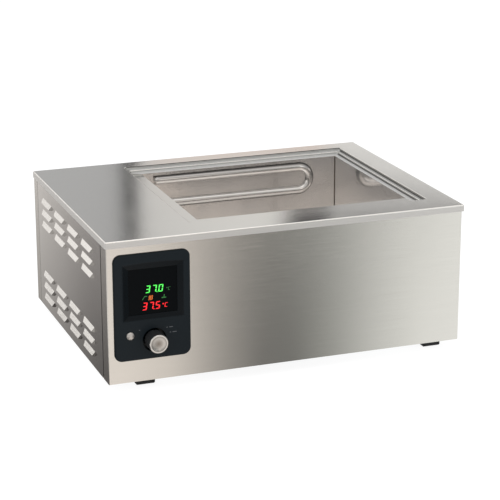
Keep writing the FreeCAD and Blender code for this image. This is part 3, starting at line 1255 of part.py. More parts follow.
def make_button():
    """The domed set button with its flange behind the bezel and its stem."""
    flange = "button_reach + bezel_proud + bezel_inner + seat_gap"
    stem = "board_front - tactile_height - button_travel - seat_gap - (bezel_front - button_reach)"
    keep(turned("set_button", "y", ("button_x", "bezel_front - button_reach", "button_z"), [
        ("0", "0"), ("button_radius", "button_reach - button_wall"), ("button_radius", flange),
        ("button_flange", flange), ("button_flange", flange + " + button_flange_thick"),
        ("button_stem", flange + " + button_flange_thick"), ("button_stem", stem), ("0", stem),
    ], domes={0}), "set_button")


# ---------------------------------------------------------------------------------------------
# Electronics bay
# ---------------------------------------------------------------------------------------------
TERMINALS = 7
FINS = 9


def terminal_x(index):
    """Where a terminal is, left to right."""
    return "bar_left + terminal_first + %d * terminal_pitch" % index


def make_mains_board():
    """The mains board on its standoffs with transformer, relay, heat sink, triac and terminals."""
    keep(block("mains_board", ("mains_left", "mains_right"), ("mains_front", "mains_rear"),
               ("mains_low", "mains_top")), "mains_board")
    posts = [rod("standoff_%d%d" % (column, line), "z", (x, y, "base_top"), "standoff_radius",
                 "standoff_height")
             for column, x in enumerate(("mains_left + standoff_inset", "mains_right - standoff_inset"))
             for line, y in enumerate(("mains_front + standoff_inset", "mains_rear - standoff_inset"))]
    keep(group("board_standoffs", posts), "board_standoffs")
    core = block("core", ("core_left", "core_right"), ("core_front", "core_rear"),
                 ("mains_top + core_raised", "mains_top + transformer_height"))
    bobbin = block("bobbin", ("core_left + bobbin_inset", "core_right - bobbin_inset"),
                   ("core_front - bobbin_reach", "core_rear + bobbin_reach"),
                   ("mains_top", "mains_top + bobbin_height"))
    keep(fuse("transformer", [core, bobbin]), "transformer")
    keep(block("heater_relay", ("relay_left", "relay_left + relay_width"),
               ("relay_rear - relay_length", "relay_rear"), ("mains_top", "mains_top + relay_height")),
         "heater_relay")
    make_heat_sink()
    keep(block("triac", ("triac_left", "triac_left + triac_width"), ("sink_back", "sink_back + triac_thick"),
               ("mains_top", "mains_top + triac_height")), "triac")
    bar = block("terminal_bar", ("bar_left", "mains_right - bar_end_inset"),
                ("bar_rear - bar_width", "bar_rear"), ("mains_top", "bar_top"))
    wells = [rod("terminal_well_%d" % index, "z",
                 (terminal_x(index), "bar_rear - terminal_inset", "bar_top - terminal_depth"),
                 "terminal_radius", "terminal_depth + overshoot")
             for index in range(TERMINALS)]
    keep(cut("terminal_block", bar, wells), "terminal_block")


def make_heat_sink():
    """An extruded heat sink: an upright plate with a row of fins towards the front."""
    body = new_body("heat_sink")
    upward = ("mains_top", "mains_top + sink_height")
    slab(body, "sink_plate", ("sink_left", "sink_left + sink_length"), ("sink_front", "sink_back"), upward)
    fin = slab(body, "sink_fin", ("sink_left", "sink_left + fin_thick"),
               ("sink_front - fin_length", "sink_front"), upward)
    fins = body.newObject("PartDesign::LinearPattern", "sink_fins")
    fins.Originals = [fin]
    fins.Direction = (fin.Profile[0], ["H_Axis"])
    fins.Occurrences = FINS
    fins.setExpression("Length", bind("%d * fin_pitch" % (FINS - 1)))
    body.Tip = fins
    doc.recompute()
    keep(body, "heat_sink")


def make_inlet():
    """The clip-in mains inlet in the rear panel, with its pins and its fuse drawer."""
    def across(low, high):
        return ("inlet_x + %s" % low, "inlet_x + %s" % high)

    def upward(half):
        return ("inlet_z - (%s)" % half, "inlet_z + " + half)

    flange = block("inlet_flange", across("-(inlet_width / 2 + inlet_lip)", "(inlet_width / 2 + inlet_lip)"),
                   ("rear_face", "rear_face + inlet_flange_thick"), upward("inlet_tall / 2 + inlet_lip"))
    case = block("inlet_case", across("(-inlet_width / 2)", "inlet_width / 2"),
                 ("rear_face - inlet_depth", "rear_face"), upward("inlet_tall / 2"))
    deep = ("rear_face - socket_depth", "rear_face + inlet_flange_thick + overshoot")
    socket = block("inlet_socket", across("(-socket_left)", "socket_right"), deep, upward("socket_tall / 2"))
    drawer_room = block("drawer_room", across("(-drawer_left)", "(-drawer_right)"), deep,
                        upward("drawer_tall / 2"))
    hollowed = cut("inlet_hollowed", fuse("inlet_blank", [flange, case]), [socket, drawer_room])
    pins = []
    for index, rise in enumerate(("0", "earth_pin_rise", "0")):
        middle = "(socket_right - socket_left) / 2 + (%d) * pin_pitch" % (index - 1)
        low = "inlet_z - pin_drop + " + rise
        pins.append(block("inlet_pin_%d" % index,
                          across(middle + " - pin_thick / 2", middle + " + pin_thick / 2"),
                          ("rear_face - socket_depth - overshoot", "rear_face - pin_set_in"),
                          (low, low + " + pin_tall")))
    keep(fuse("mains_inlet", [hollowed] + pins), "mains_inlet")
    keep(block("fuse_drawer", across("(drawer_gap - drawer_left)", "(-drawer_right - drawer_gap)"),
               ("rear_face - drawer_depth", "rear_face + drawer_proud"),
               upward("drawer_tall / 2 - drawer_gap")), "fuse_drawer")


def make_thermostat():
    """The over-temperature limiter on the bay wall."""
    face = "bay_wall - gauge"
    keep(block("safety_thermostat", (face + " - limiter_thick", face),
               ("limiter_y", "limiter_y + limiter_side"), ("limiter_top - limiter_side", "limiter_top")),
         "safety_thermostat")


# ---------------------------------------------------------------------------------------------
# Leads inside the case
# ---------------------------------------------------------------------------------------------
MAINS_TERMINALS = (1, 3)
HEATER_TERMINALS = (5, 6)


def make_leads():
    """Probe leads, heater leads, mains leads, the earth lead and the ribbon cable."""
    down_x = "mains_right - sensor_lead_inset"
    down_y = "mains_front + sensor_lead_end"
    keep(lead("sensor_lead", [
        ("pocket_x", "pocket_y - probe_end", "sensor_z"), ("pocket_x", "grommet_y", "sensor_z"),
        (down_x, "grommet_y", "sensor_z"), (down_x, down_y, "sensor_z"),
        (down_x, down_y, "mains_top")], "lead_radius", "probe_bend"), "sensor_lead")
    heater, mains = [], []
    for index, height in enumerate(("rib_upper_z", "rib_lower_z")):
        x = terminal_x(HEATER_TERMINALS[index])
        top = "mains_top + heater_lead_rise + %d * heater_lead_step" % index
        heater.append(lead("heater_lead_%d" % index, [
            ("rib_left - stud_radius", "stud_y", height), (x, "stud_y", height), (x, "stud_y", top),
            (x, "lead_end_y", top), (x, "lead_end_y", "bar_top")], "lead_radius", "heater_bend"))
        x = terminal_x(MAINS_TERMINALS[index])
        mains.append(lead("mains_lead_%d" % index, [
            (x, "rear_face - inlet_depth", "inlet_z"), (x, "lead_end_y", "inlet_z"),
            (x, "lead_end_y", "bar_top")], "lead_radius", "mains_bend"))
    keep(group("heater_leads", heater), "heater_leads")
    earth_z = "inlet_z - earth_drop"
    mains.append(lead("earth_lead", [
        ("inlet_x", "rear_face - inlet_depth", earth_z), ("inlet_x", "rear_face - earth_reach", earth_z),
        ("inlet_x", "rear_face - earth_reach", "base_top")], "lead_radius", "probe_bend"))
    keep(group("mains_leads", mains), "mains_leads")
    across = ("ribbon_right - ribbon_width", "ribbon_right")
    turn_y = "board_back + ribbon_run"
    high = "bezel_high - ribbon_from_top"
    low = "mains_top + plug_height"
    plug = "mains_front + plug_set_in"
    runs = [block("ribbon_front", across, ("board_back", turn_y), (high, high + " + ribbon_thick")),
            block("ribbon_drop", across, (turn_y + " - ribbon_thick", turn_y), (low, high)),
            block("ribbon_rear", across, (turn_y + " - ribbon_thick", plug + " + plug_length"),
                  (low, low + " + ribbon_thick")),
            block("ribbon_plug", across, (plug, plug + " + plug_length"), ("mains_top", low))]
    keep(fuse("ribbon_cable", runs), "ribbon_cable")


# ---------------------------------------------------------------------------------------------
# Drain
# ---------------------------------------------------------------------------------------------
def make_drain():
    """The drain pipe from the tank floor through the rear panel, with the nuts that hold it."""
    corner = ("drain_x", "drain_y", "drain_z")
    under = "tank_floor_z - gauge"
    run = "valve_front + pipe_in_valve - drain_y"

    def elbow(name, radius, rise, extra):
        return [ball(name + "_elbow", corner, radius),
                rod(name + "_down", "z", corner, radius, "%s - drain_z + %s" % (rise, extra)),
                rod(name + "_run", "y", corner, radius, "%s + %s" % (run, extra))]

    collar = rod("drain_collar", "z", ("drain_x", "drain_y", under + " - drain_collar_thick"),
                 "drain_pipe_radius + drain_collar_rim", "drain_collar_thick")
    outside = elbow("drain_outside", "drain_pipe_radius", under, "0")
    keep(cut("drain_pipe", fuse("drain_blank", outside + [collar]),
             elbow("drain_inside", "drain_bore", under, "overshoot")), "drain_pipe")
    nuts = []
    for index, front in enumerate(("rear_face", "rear_face - gauge - drain_nut_thick")):
        ring = rod("drain_nut_ring_%d" % index, "y", ("drain_x", front, "drain_z"),
                   "drain_pipe_radius + drain_nut_rim", "drain_nut_thick")
        bore = rod("drain_nut_bore_%d" % index, "y", ("drain_x", front + " - overshoot", "drain_z"),
                   "drain_pipe_radius + running_fit", "drain_nut_thick + 2 * overshoot")
        nuts.append(cut("drain_nut_%d" % index, ring, [bore]))
    keep(group("drain_nuts", nuts), "drain_nuts")


def make_valve():
    """The ball valve with its hose spigot, and the ball, stem and lever that turn together."""
    axis = ("drain_x", "valve_front", "drain_z")
    centre = ("drain_x", "valve_y", "drain_z")
    room = "ball_radius + ball_clearance"
    case = rod("valve_case", "y", axis, "valve_radius", "valve_length")
    boss = rod("valve_boss", "z", centre, "stem_radius + valve_boss_wall", "valve_radius + valve_boss_rise")
    entry = ("drain_x", "valve_front - overshoot", "drain_z")
    tools = [rod("valve_bore", "y", entry, "drain_bore", "valve_length"),
             rod("valve_socket", "y", entry, "drain_pipe_radius + running_fit", "pipe_in_valve + overshoot"),
             ball("valve_seat", centre, room),
             rod("valve_mouth", "y", centre, room, "valve_length"),
             rod("valve_stem_bore", "z", centre, "stem_radius + running_fit",
                 "valve_radius + valve_boss_rise + 2 * overshoot")]
    keep(cut("valve_body", fuse("valve_blank", [case, boss]), tools), "valve_body")
    plug_front = "valve_y + ball_radius + ball_clearance"
    plug = rod("spigot_plug", "y", ("drain_x", plug_front, "drain_z"), room + " - running_fit",
               "valve_back - (%s)" % plug_front)
    spigot = rod("spigot_tube", "y", ("drain_x", "valve_back", "drain_z"), "spigot_radius", "spigot_length")
    bore = rod("spigot_bore", "y", ("drain_x", plug_front + " - overshoot", "drain_z"),
               "spigot_radius - spigot_wall", "valve_length + spigot_length")
    keep(cut("hose_spigot", fuse("spigot_blank", [plug, spigot]), [bore]), "hose_spigot")

    waterway = rod("ball_waterway", "x", ("drain_x - ball_radius - overshoot", "valve_y", "drain_z"),
                   "drain_bore", "2 * (ball_radius + overshoot)")
    slot = rod("ball_slot", "z", ("drain_x", "valve_y", "stem_low"), "stem_radius", "2 * stem_in_ball")
    keep(cut("valve_ball", ball("ball_blank", centre, "ball_radius"), [waterway, slot]), "valve_ball")
    keep(rod("valve_stem", "z", ("drain_x", "valve_y", "stem_low"), "stem_radius",
             "lever_high + stem_above_lever - stem_low"), "valve_stem")
    strap = block("lever_strap", ("lever_tip", "drain_x"),
                  ("valve_y - lever_width / 2", "valve_y + lever_width / 2"), ("lever_low", "lever_high"))
    eye = rod("lever_eye", "z", ("drain_x", "valve_y", "lever_low"), "lever_width / 2 + lever_eye_rim",
              "lever_thick")
    hole = rod("lever_hole", "z", ("drain_x", "valve_y", "lever_low - overshoot"),
               "stem_radius + running_fit", "lever_thick + 2 * overshoot")
    keep(cut("drain_lever", fuse("lever_blank", [strap, eye]), [hole]), "drain_lever")
    sleeve = block("grip_outside", ("lever_tip - grip_wall", "grip_end"),
                   ("valve_y - lever_width / 2 - grip_wall", "valve_y + lever_width / 2 + grip_wall"),
                   ("lever_low - grip_wall", "lever_high + grip_wall"))
    space = block("grip_inside", ("lever_tip - running_fit", "drain_x"),
                  ("valve_y - lever_width / 2 - running_fit", "valve_y + lever_width / 2 + running_fit"),
                  ("lever_low - running_fit", "lever_high + running_fit"))
    keep(cut("lever_grip", sleeve, [space]), "lever_grip")
    collar = rod("lever_nut_collar", "z", ("drain_x", "valve_y", "lever_high"), "lever_nut_radius",
                 "lever_nut_thick")
    bore = rod("lever_nut_bore", "z", ("drain_x", "valve_y", "lever_low"), "stem_radius + running_fit",
               "lever_thick + lever_nut_thick + 2 * overshoot")
    keep(cut("lever_nut", collar, [bore]), "lever_nut")


make_deck()
make_tank()
make_front_panel()
make_rear_panel()
make_side_panels()
make_feet()
make_base()
make_heater()
make_probes()
make_insulation()
make_bezel()
make_control_board()
make_main_switch()
make_button()
make_mains_board()
make_inlet()
make_thermostat()
make_leads()
make_drain()
make_valve()
doc.recompute()

# ---------------------------------------------------------------------------------------------
# Checks and export
# ---------------------------------------------------------------------------------------------
for item in doc.Objects:
    if "Invalid" in item.State or "Error" in item.State:
        raise ValueError("%s failed" % item.Name)
for item in NODES:
    if item.Shape.isNull() or not item.Shape.isValid() or not item.Shape.Solids:
        raise ValueError("%s has no valid solid" % item.Label)
if not 0 < len(NODES) <= 60 or len({item.Label for item in NODES}) != len(NODES):
    raise ValueError("the node list is wrong")

os.makedirs("parts", exist_ok=True)
for item in NODES:
    item.Shape.exportStep("parts/%s.step" % item.Label)
print(len(NODES), "nodes")
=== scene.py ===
"""Looks of a bench-top water bath: a brushed stainless case with a tank let into its deck."""
import logging
import math
from dataclasses import dataclass, field, replace
from enum import Enum
from typing import Any, Iterable, Mapping, Sequence

import bmesh
import bpy
from mathutils import Matrix, Vector


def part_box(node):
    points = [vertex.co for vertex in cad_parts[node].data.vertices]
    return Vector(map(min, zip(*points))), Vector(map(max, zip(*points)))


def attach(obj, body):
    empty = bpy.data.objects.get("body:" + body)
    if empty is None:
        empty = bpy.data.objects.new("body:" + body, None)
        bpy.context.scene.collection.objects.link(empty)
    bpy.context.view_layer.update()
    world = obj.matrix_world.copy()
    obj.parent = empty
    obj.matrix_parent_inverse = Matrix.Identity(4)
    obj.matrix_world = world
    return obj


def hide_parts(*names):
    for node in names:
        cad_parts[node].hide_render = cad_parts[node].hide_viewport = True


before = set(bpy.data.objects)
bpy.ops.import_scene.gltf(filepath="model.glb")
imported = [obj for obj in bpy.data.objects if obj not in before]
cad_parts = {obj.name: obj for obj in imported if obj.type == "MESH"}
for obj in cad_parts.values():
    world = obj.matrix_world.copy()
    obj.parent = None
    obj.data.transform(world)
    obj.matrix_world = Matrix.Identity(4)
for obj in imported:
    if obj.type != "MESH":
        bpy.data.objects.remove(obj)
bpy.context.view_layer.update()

LOG = logging.getLogger("water_bath")
MM = 0.001
Colour = tuple[float, float, float]
Point = tuple[float, float, float]


# ---------------------------------------------------------------------------
# Shader maths
# ---------------------------------------------------------------------------
class Value:
    """One number that flows between shader nodes; Python operators add Math nodes."""

    def __init__(self, nodes: "NodeBook", socket: bpy.types.NodeSocket) -> None:
        """Keep the book that makes nodes and the socket that carries the number."""
        self.nodes = nodes
        self.socket = socket

    def _math(self, operation: str, *others: "Value | float",
              first: "Value | float | None" = None) -> "Value":
        """Add one Math node.

        Args:
            operation: the Math node's operation.
            others: what follows this value.
            first: what comes before it, where the order is turned round.

        Returns:
            The node's result.
        """
        terms = [self, *others] if first is None else [first, self, *others]
        inputs = dict(enumerate(terms))
        return self.nodes.value("ShaderNodeMath", {"operation": operation}, inputs)

    def __add__(self, other: "Value | float") -> "Value":
        """This plus other."""
        return self._math("ADD", other)

    __radd__ = __add__

    def __sub__(self, other: "Value | float") -> "Value":
        """This less other."""
        return self._math("SUBTRACT", other)

    def __rsub__(self, other: float) -> "Value":
        """Other less this."""
        return self._math("SUBTRACT", first=other)

    def __mul__(self, other: "Value | float") -> "Value":
        """This times other."""
        return self._math("MULTIPLY", other)

    __rmul__ = __mul__

    def __truediv__(self, other: "Value | float") -> "Value":
        """This over other."""
        return self._math("DIVIDE", other)

    def __pow__(self, other: float) -> "Value":
        """This to the power other."""
        return self._math("POWER", other)

    def atan2(self, other: "Value") -> "Value":
        """The angle whose tangent is this over other."""
        return self._math("ARCTAN2", other)

    def larger(self, other: "Value | float") -> "Value":
        """The larger of the two."""
        return self._math("MAXIMUM", other)

    def above(self, edge: float) -> "Value":
        """One where this is over the edge, else zero."""
        return self._math("GREATER_THAN", edge)

    def span(self, low: float, high: float) -> "Value":
        """Zero at low, one at high, held between the two."""
        inputs = {"Value": self, "From Min": low, "From Max": high}
        return self.nodes.value("ShaderNodeMapRange", {"clamp": True}, inputs)

    def ramp(self, stops: Sequence[tuple[float, Colour]]) -> "Value":
        """Run this through a colour ramp.

        Args:
            stops: position and colour of each stop, in order.

        Returns:
            The ramp's colour.
        """
        return self.nodes.value("ShaderNodeValToRGB", {"stops": stops}, {"Fac": self})


class NodeBook:
    """Adds nodes to one node tree, laid out from left to right."""

    def __init__(self, owner: "bpy.types.Material | bpy.types.World") -> None:
        """Empty the owner's tree and keep it.

        Args:
            owner: the material or world whose nodes are laid.
        """
        owner.use_nodes = True
        self.tree = owner.node_tree
        self.tree.nodes.clear()
        self.count = 0

    def node(self, kind: str, settings: Mapping[str, Any] | None = None,
             inputs: Mapping[Any, Any] | None = None) -> bpy.types.Node:
        """Add a node.

        Args:
            kind: the node's type name.
            settings: its properties; "stops" fills a colour ramp.
            inputs: socket name or number to a value, a colour or a Value to link.

        Returns:
            The new node.
        """
        made = self.tree.nodes.new(kind)
        made.location = (220 * (self.count % 12), -260 * (self.count // 12))
        self.count += 1
        for key, setting in (settings or {}).items():
            if key == "stops":
                self._fill_ramp(made.color_ramp, setting)
            else:
                setattr(made, key, setting)
        for key, wanted in (inputs or {}).items():
            if isinstance(wanted, Value):
                self.tree.links.new(wanted.socket, made.inputs[key])
            elif isinstance(wanted, tuple) and len(wanted) == 3 and made.inputs[key].type == "RGBA":
                made.inputs[key].default_value = (*wanted, 1.0)
            else:
                made.inputs[key].default_value = wanted
        return made

    def value(self, kind: str, settings: Mapping[str, Any] | None = None,
              inputs: Mapping[Any, Any] | None = None, output: int | str = 0) -> Value:
        """Add a node as node() does and return one of its outputs as a Value."""
        return Value(self, self.node(kind, settings, inputs).outputs[output])

    @staticmethod
    def _fill_ramp(ramp: bpy.types.ColorRamp, stops: Sequence[tuple[float, Colour]]) -> None:
        """Give a colour ramp its stops."""
        while len(ramp.elements) < len(stops):
            ramp.elements.new(1.0)
        for element, (place, colour) in zip(ramp.elements, stops):
            element.position = place
            element.color = (*colour, 1.0)

    def position(self) -> Value:
        """Where the surface is, in the object's own metres."""
        return self.value("ShaderNodeTexCoord", output="Object")

    def split(self, vector: Value) -> tuple[Value, Value, Value]:
        """The three parts of a vector."""
        parts = self.node("ShaderNodeSeparateXYZ", None, {0: vector})
        return Value(self, parts.outputs[0]), Value(self, parts.outputs[1]), Value(self, parts.outputs[2])

    def facing(self) -> tuple[Value, Value, Value]:
        """The three parts of the way the surface faces, in the object's own axes."""
        return self.split(self.value("ShaderNodeTexCoord", output="Normal"))

    def scaled(self, vector: Value, scale: Value | Point) -> Value:
        """A vector or colour times another, part by part."""
        return self.value("ShaderNodeVectorMath", {"operation": "MULTIPLY"}, {0: vector, 1: scale})

    def noise(self, scale: Point, detail: float = 2.0, roughness: float = 0.5) -> Value:
        """Noise over the object's metres, with a scale for each axis."""
        vector = self.scaled(self.position(), scale)
        return self.value("ShaderNodeTexNoise", {"noise_dimensions": "3D"},
                          {"Vector": vector, "Scale": 1.0, "Detail": detail, "Roughness": roughness}, "Fac")

    def mix(self, share: Value | float, first: Value | Colour, second: Value | Colour) -> Value:
        """A colour between two others."""
        settings = {"data_type": "RGBA"}
        return self.value("ShaderNodeMix", settings, {0: share, 6: first, 7: second}, 2)

    def bump(self, height: Value, distance: float, strength: float = 1.0) -> Value:
        """A normal tilted by a height in metres times distance."""
        inputs = {"Height": height, "Distance": distance, "Strength": strength}
        return self.value("ShaderNodeBump", None, inputs, "Normal")

    def rays(self) -> tuple[Value, Value]:
        """What the eye sees, straight or through glass, and what is mirrored."""
        kinds = self.node("ShaderNodeLightPath").outputs
        seen = Value(self, kinds["Is Camera Ray"]).larger(Value(self, kinds["Is Transmission Ray"]))
        return seen, Value(self, kinds["Is Glossy Ray"])

    def surface(self, inputs: Mapping[Any, Any]) -> None:
        """Finish a material with a Principled shader."""
        shader = self.node("ShaderNodeBsdfPrincipled", None, inputs)
        self.node("ShaderNodeOutputMaterial", None, {"Surface": Value(self, shader.outputs[0])})


# ---------------------------------------------------------------------------
# Finishes
# ---------------------------------------------------------------------------
class Grain(Enum):
    """The way a sheet was brushed, as the noise scale for each axis in cells per metre."""

    ALONG_X = (9.0, 2400.0, 2400.0)
    ALONG_Y = (2400.0, 9.0, 2400.0)


@dataclass(frozen=True)
class Coating:
    """A named finish, whose nodes each kind lays out in its own way."""

    name: str

    def lay(self, book: NodeBook) -> None:
        """Lay out the finish's nodes."""
        raise NotImplementedError

    def build(self) -> bpy.types.Material:
        """Make the material.

        Returns:
            The material, with its nodes.
        """
        material = bpy.data.materials.new(self.name)
        self.lay(NodeBook(material))
        return material


@dataclass(frozen=True)
class SheetSteel(Coating):
    """Stainless sheet with a grain, faint cloudy tone and fine scratches."""

    grain: Grain
    tone: Colour = (0.62, 0.605, 0.575)
    roughness: float = 0.17
    relief: float = 0.00006
    streak: float = 0.10
    shine: float = 1.0

    def brushed(self, book: NodeBook, grain: Grain, size: float = 1.0) -> Value:
        """Brushed lines, so many times their usual size."""
        return book.noise(tuple(cells / size for cells in grain.value), 3.0, 0.65)

    def lines(self, book: NodeBook, size: float = 1.0) -> Value:
        """The sheet's brushed lines, so many times their usual size."""
        return self.brushed(book, self.grain, size)

    def shaded(self, book: NodeBook, tone: Value) -> Value:
        """The tone with painted shade for the sheet's shape, which is none on a flat sheet."""
        return tone

    def lay(self, book: NodeBook) -> None:
        """Lay out the finish's nodes.

        Args:
            book: where they go.
        """
        grain = self.lines(book)
        coarse = self.lines(book, 4.0)
        cloud = book.noise((7.0, 7.0, 9.0), 3.0, 0.55)
        lines = grain.span(0.30, 0.70)
        darker = tuple(part * (1 - self.streak) for part in self.tone)
        tone = book.mix(lines * 0.7 + coarse * 0.3, darker, self.tone)
        tone = book.mix(cloud.span(0.35, 0.75) * 0.25, tone, tuple(part * 0.93 for part in self.tone))
        rough = grain * 0.05 + cloud * 0.05 + (self.roughness - 0.05)
        book.surface({
            "Base Color": self.shaded(book, tone), "Metallic": self.shine, "Roughness": rough,
            "Normal": book.bump(grain + coarse * 0.5, self.relief),
        })


@dataclass(frozen=True)
class LouvredSheet(SheetSteel):
    """Brushed sheet with painted shade on the ends of its pressed louvres."""

    # painted shade on the louvres' ends: how strong it is, and its colour
    end_shade: float = 0.75
    painted_end_shade_tone: Colour = (0.16, 0.15, 0.14)

    def shaded(self, book: NodeBook, tone: Value) -> Value:
        """Paint shade on what faces to the front or to the rear."""
        _, back, _ = book.facing()
        return book.mix((back * back).span(0.05, 0.15) * self.end_shade, tone, self.painted_end_shade_tone)


@dataclass(frozen=True)
class TankSheet(SheetSteel):
    """Drawn sheet with painted shade in the creases beside the hairpin bead in its rear wall and over the
    bead's crown.
    """

    tube: float = 4.25 * MM
    bead: float = 6.75 * MM
    # painted shade: the colour of the creases beside the bead
    crease: Colour = (0.02, 0.018, 0.018)
    wall: float = 18 * MM
    fade: float = 2 * MM

    def lines(self, book: NodeBook, size: float = 1.0) -> Value:
        """Lines that run level on every wall.

        Args:
            book: where the nodes go.
            size: how many times their usual size they are.

        Returns:
            The lines.
        """
        right, _, _ = book.facing()
        side_wall = (right * right).above(0.5)
        along_x = self.brushed(book, Grain.ALONG_X, size)
        return along_x + (self.brushed(book, Grain.ALONG_Y, size) - along_x) * side_wall

    def shaded(self, book: NodeBook, tone: Value) -> Value:
        """Paint shade into the creases beside the bead, which follows the heater behind it, and over its
        crown.

        Args:
            book: where the nodes go.
            tone: the sheet's tone.

        Returns:
            The tone with the painted shade in it.
        """
        low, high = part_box("rear_heater")
        bend = (high.z - low.z) / 2 - self.tube
        middle = (high.z + low.z) / 2
        _, tank_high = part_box("tank")
        right, back, rise = book.split(book.position())
        past = (right - (high.x - self.tube - bend)).larger(0.0)
        offset = (past ** 2 + (rise - middle) ** 2) ** 0.5 - bend
        # painted shade: the ramp darkens the outer crease almost to black, the inner one less, and the crown
        # a little to dim its highlight
        cover = offset.span(-1.5 * self.bead, 1.5 * self.bead).ramp((
            (0.00, (1.0, 1.0, 1.0)), (0.13, (0.95, 0.95, 0.95)), (0.175, (0.40, 0.40, 0.40)),
            (0.24, (0.62, 0.62, 0.62)), (0.40, (0.80, 0.80, 0.80)), (0.60, (0.72, 0.72, 0.72)),
            (0.72, (0.42, 0.42, 0.42)), (0.80, (0.06, 0.06, 0.06)), (0.865, (0.10, 0.10, 0.10)),
            (0.92, (0.95, 0.95, 0.95)), (1.00, (1.0, 1.0, 1.0))))
        on_wall = back.span(tank_high.y - self.wall, tank_high.y - self.wall + self.fade)
        reach = right.span(low.x - self.tube, low.x - self.tube + self.fade / 2)
        return book.mix((1.0 - cover) * on_wall * reach, tone, self.crease)


@dataclass(frozen=True)
class TurnedFace(Coating):
    """A turned metal face with rings about an axis along Y, and painted shade: darker towards the middle of
    its dish and in a dark ring just inside its rim.
    """

    tone: Colour
    node: str
    rim: float
    roughness: float = 0.16

    def lay(self, book: NodeBook) -> None:
        """Lay out the finish's nodes.

        Args:
            book: where they go.
        """
        low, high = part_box(self.node)
        right, _, rise = book.split(book.position())
        radius = ((right - (low.x + high.x) / 2) ** 2 + (rise - (low.z + high.z) / 2) ** 2) ** 0.5
        rings = book.value("ShaderNodeTexNoise", {"noise_dimensions": "1D"},
                           {"W": radius, "Scale": 3500.0, "Detail": 2.0, "Roughness": 0.6}, "Fac")
        wear = book.noise((150.0, 150.0, 150.0), 2.0, 0.5)
        turned = book.mix(rings * 0.35, (0.80, 0.80, 0.80), (1.0, 1.0, 1.0))
        # painted shade across the dish: darkest in the middle, lighter towards the rim, with a dark ring
        # where the dish meets it
        share = (radius / self.rim).ramp((
            (0.00, (0.36, 0.33, 0.30)), (0.30, (0.50, 0.48, 0.46)), (0.70, (0.82, 0.81, 0.80)),
            (0.93, (0.60, 0.59, 0.58)), (0.975, (0.18, 0.17, 0.165)), (1.00, (1.0, 1.0, 1.0))))
        book.surface({
            "Base Color": book.scaled(book.scaled(turned, share), self.tone), "Metallic": 1.0,
            "Roughness": rings * 0.10 + wear * 0.05 + (self.roughness - 0.06),
            "Normal": book.bump(rings, 0.000004),
        })


@dataclass(frozen=True)
class Metal(Coating):
    """Small metal parts: plated, turned or cast, with fine wear."""

    tone: Colour
    roughness: float = 0.25
    grain: Point = (900.0, 900.0, 900.0)
    relief: float = 0.00003
    blotch: float = 0.12

    def lay(self, book: NodeBook) -> None:
        """Lay out the finish's nodes.

        Args:
            book: where they go.
        """
        fine = book.noise(self.grain, 3.0, 0.6)
        broad = book.noise((60.0, 60.0, 60.0), 3.0, 0.55)
        darker = tuple(part * (1 - self.blotch) for part in self.tone)
        book.surface({
            "Base Color": book.mix(broad.span(0.3, 0.7), darker, self.tone), "Metallic": 1.0,
            "Roughness": fine * 0.12 + broad * 0.08 + (self.roughness - 0.1),
            "Normal": book.bump(fine, self.relief, 0.5),
        })


@dataclass(frozen=True)
class Moulding(Coating):
    """Moulded plastic or rubber with a fine eroded grain."""

    tone: Colour
    roughness: float = 0.45
    grain_size: float = 0.0006
    relief: float = 0.00004
    lift: float = 0.35
    sheen: float = 0.3

    def moulded(self, book: NodeBook) -> tuple[Value, Value, Value]:
        """The surface as it leaves the mould.

        Args:
            book: where the nodes go.

        Returns:
            Its grain, its colour and its roughness.
        """
        cells = 1.0 / self.grain_size
        grain = book.noise((cells, cells, cells), 2.0, 0.6)
        rub = book.noise((35.0, 35.0, 35.0), 4.0, 0.6)
        lighter = tuple(part * (1 + self.lift) for part in self.tone)
        colour = book.mix(grain.span(0.35, 0.75) * 0.6 + rub * 0.25, self.tone, lighter)
        return grain, colour, grain * 0.14 + rub * 0.10 + (self.roughness - 0.12)

    def lay(self, book: NodeBook) -> None:
        """Lay out the finish's nodes.

        Args:
            book: where they go.
        """
        grain, colour, rough = self.moulded(book)
        book.surface({
            "Base Color": colour,
            "Roughness": rough,
            "Specular IOR Level": self.sheen,
            "Normal": book.bump(grain, self.relief, 0.6),
        })


@dataclass(frozen=True)
class BezelPlastic(Moulding):
    """Bezel plastic that is darker, with painted shade, and glossier wherever it falls back from the front
    face and near its outline.
    """

    # colour of the painted shade in the recesses and near the outline
    recess_painted_shade: Colour = (0.0007, 0.0028, 0.0046)
    deep_gloss: float = 0.14
    sheen: float = 0.13
    corner: float = 10.0 * MM
    fall: tuple[float, float] = (0.15 * MM, 0.9 * MM)
    rounding: tuple[float, float] = (1.9 * MM, 0.7 * MM)
    rounding_shade: float = 0.85

    def inset(self, right: Value, rise: Value) -> Value:
        """How far inside the bezel's round-cornered outline a point is, near its edge.

        Args:
            right: the point's place across the bezel.
            rise: the point's height.

        Returns:
            The distance, in metres.
        """
        low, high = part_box("control_bezel")
        past = []
        for place, near, far in ((right, low.x, high.x), (rise, low.z, high.z)):
            from_middle = ((place - (near + far) / 2) ** 2) ** 0.5
            past.append((from_middle - ((far - near) / 2 - self.corner)).larger(0.0))
        return self.corner - (past[0] ** 2 + past[1] ** 2) ** 0.5

    def lay(self, book: NodeBook) -> None:
        """Lay out the finish's nodes.

        Args:
            book: where they go.
        """
        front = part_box("control_bezel")[0].y
        grain, face, rough = self.moulded(book)
        right, back, rise = book.split(book.position())
        # painted shade: darker near the outline and wherever the surface lies behind the front face, such as
        # the display's recess and the knob's well
        outline_painted_shade = self.inset(right, rise).span(*self.rounding) * self.rounding_shade
        deep = (back - front).span(*self.fall).larger(outline_painted_shade)
        book.surface({
            "Base Color": book.mix(deep, face, self.recess_painted_shade),
            "Roughness": rough - deep * self.deep_gloss,
            "Specular IOR Level": self.sheen,
            "Normal": book.bump(grain * (1.0 - deep * 0.8), self.relief, 0.6),
        })


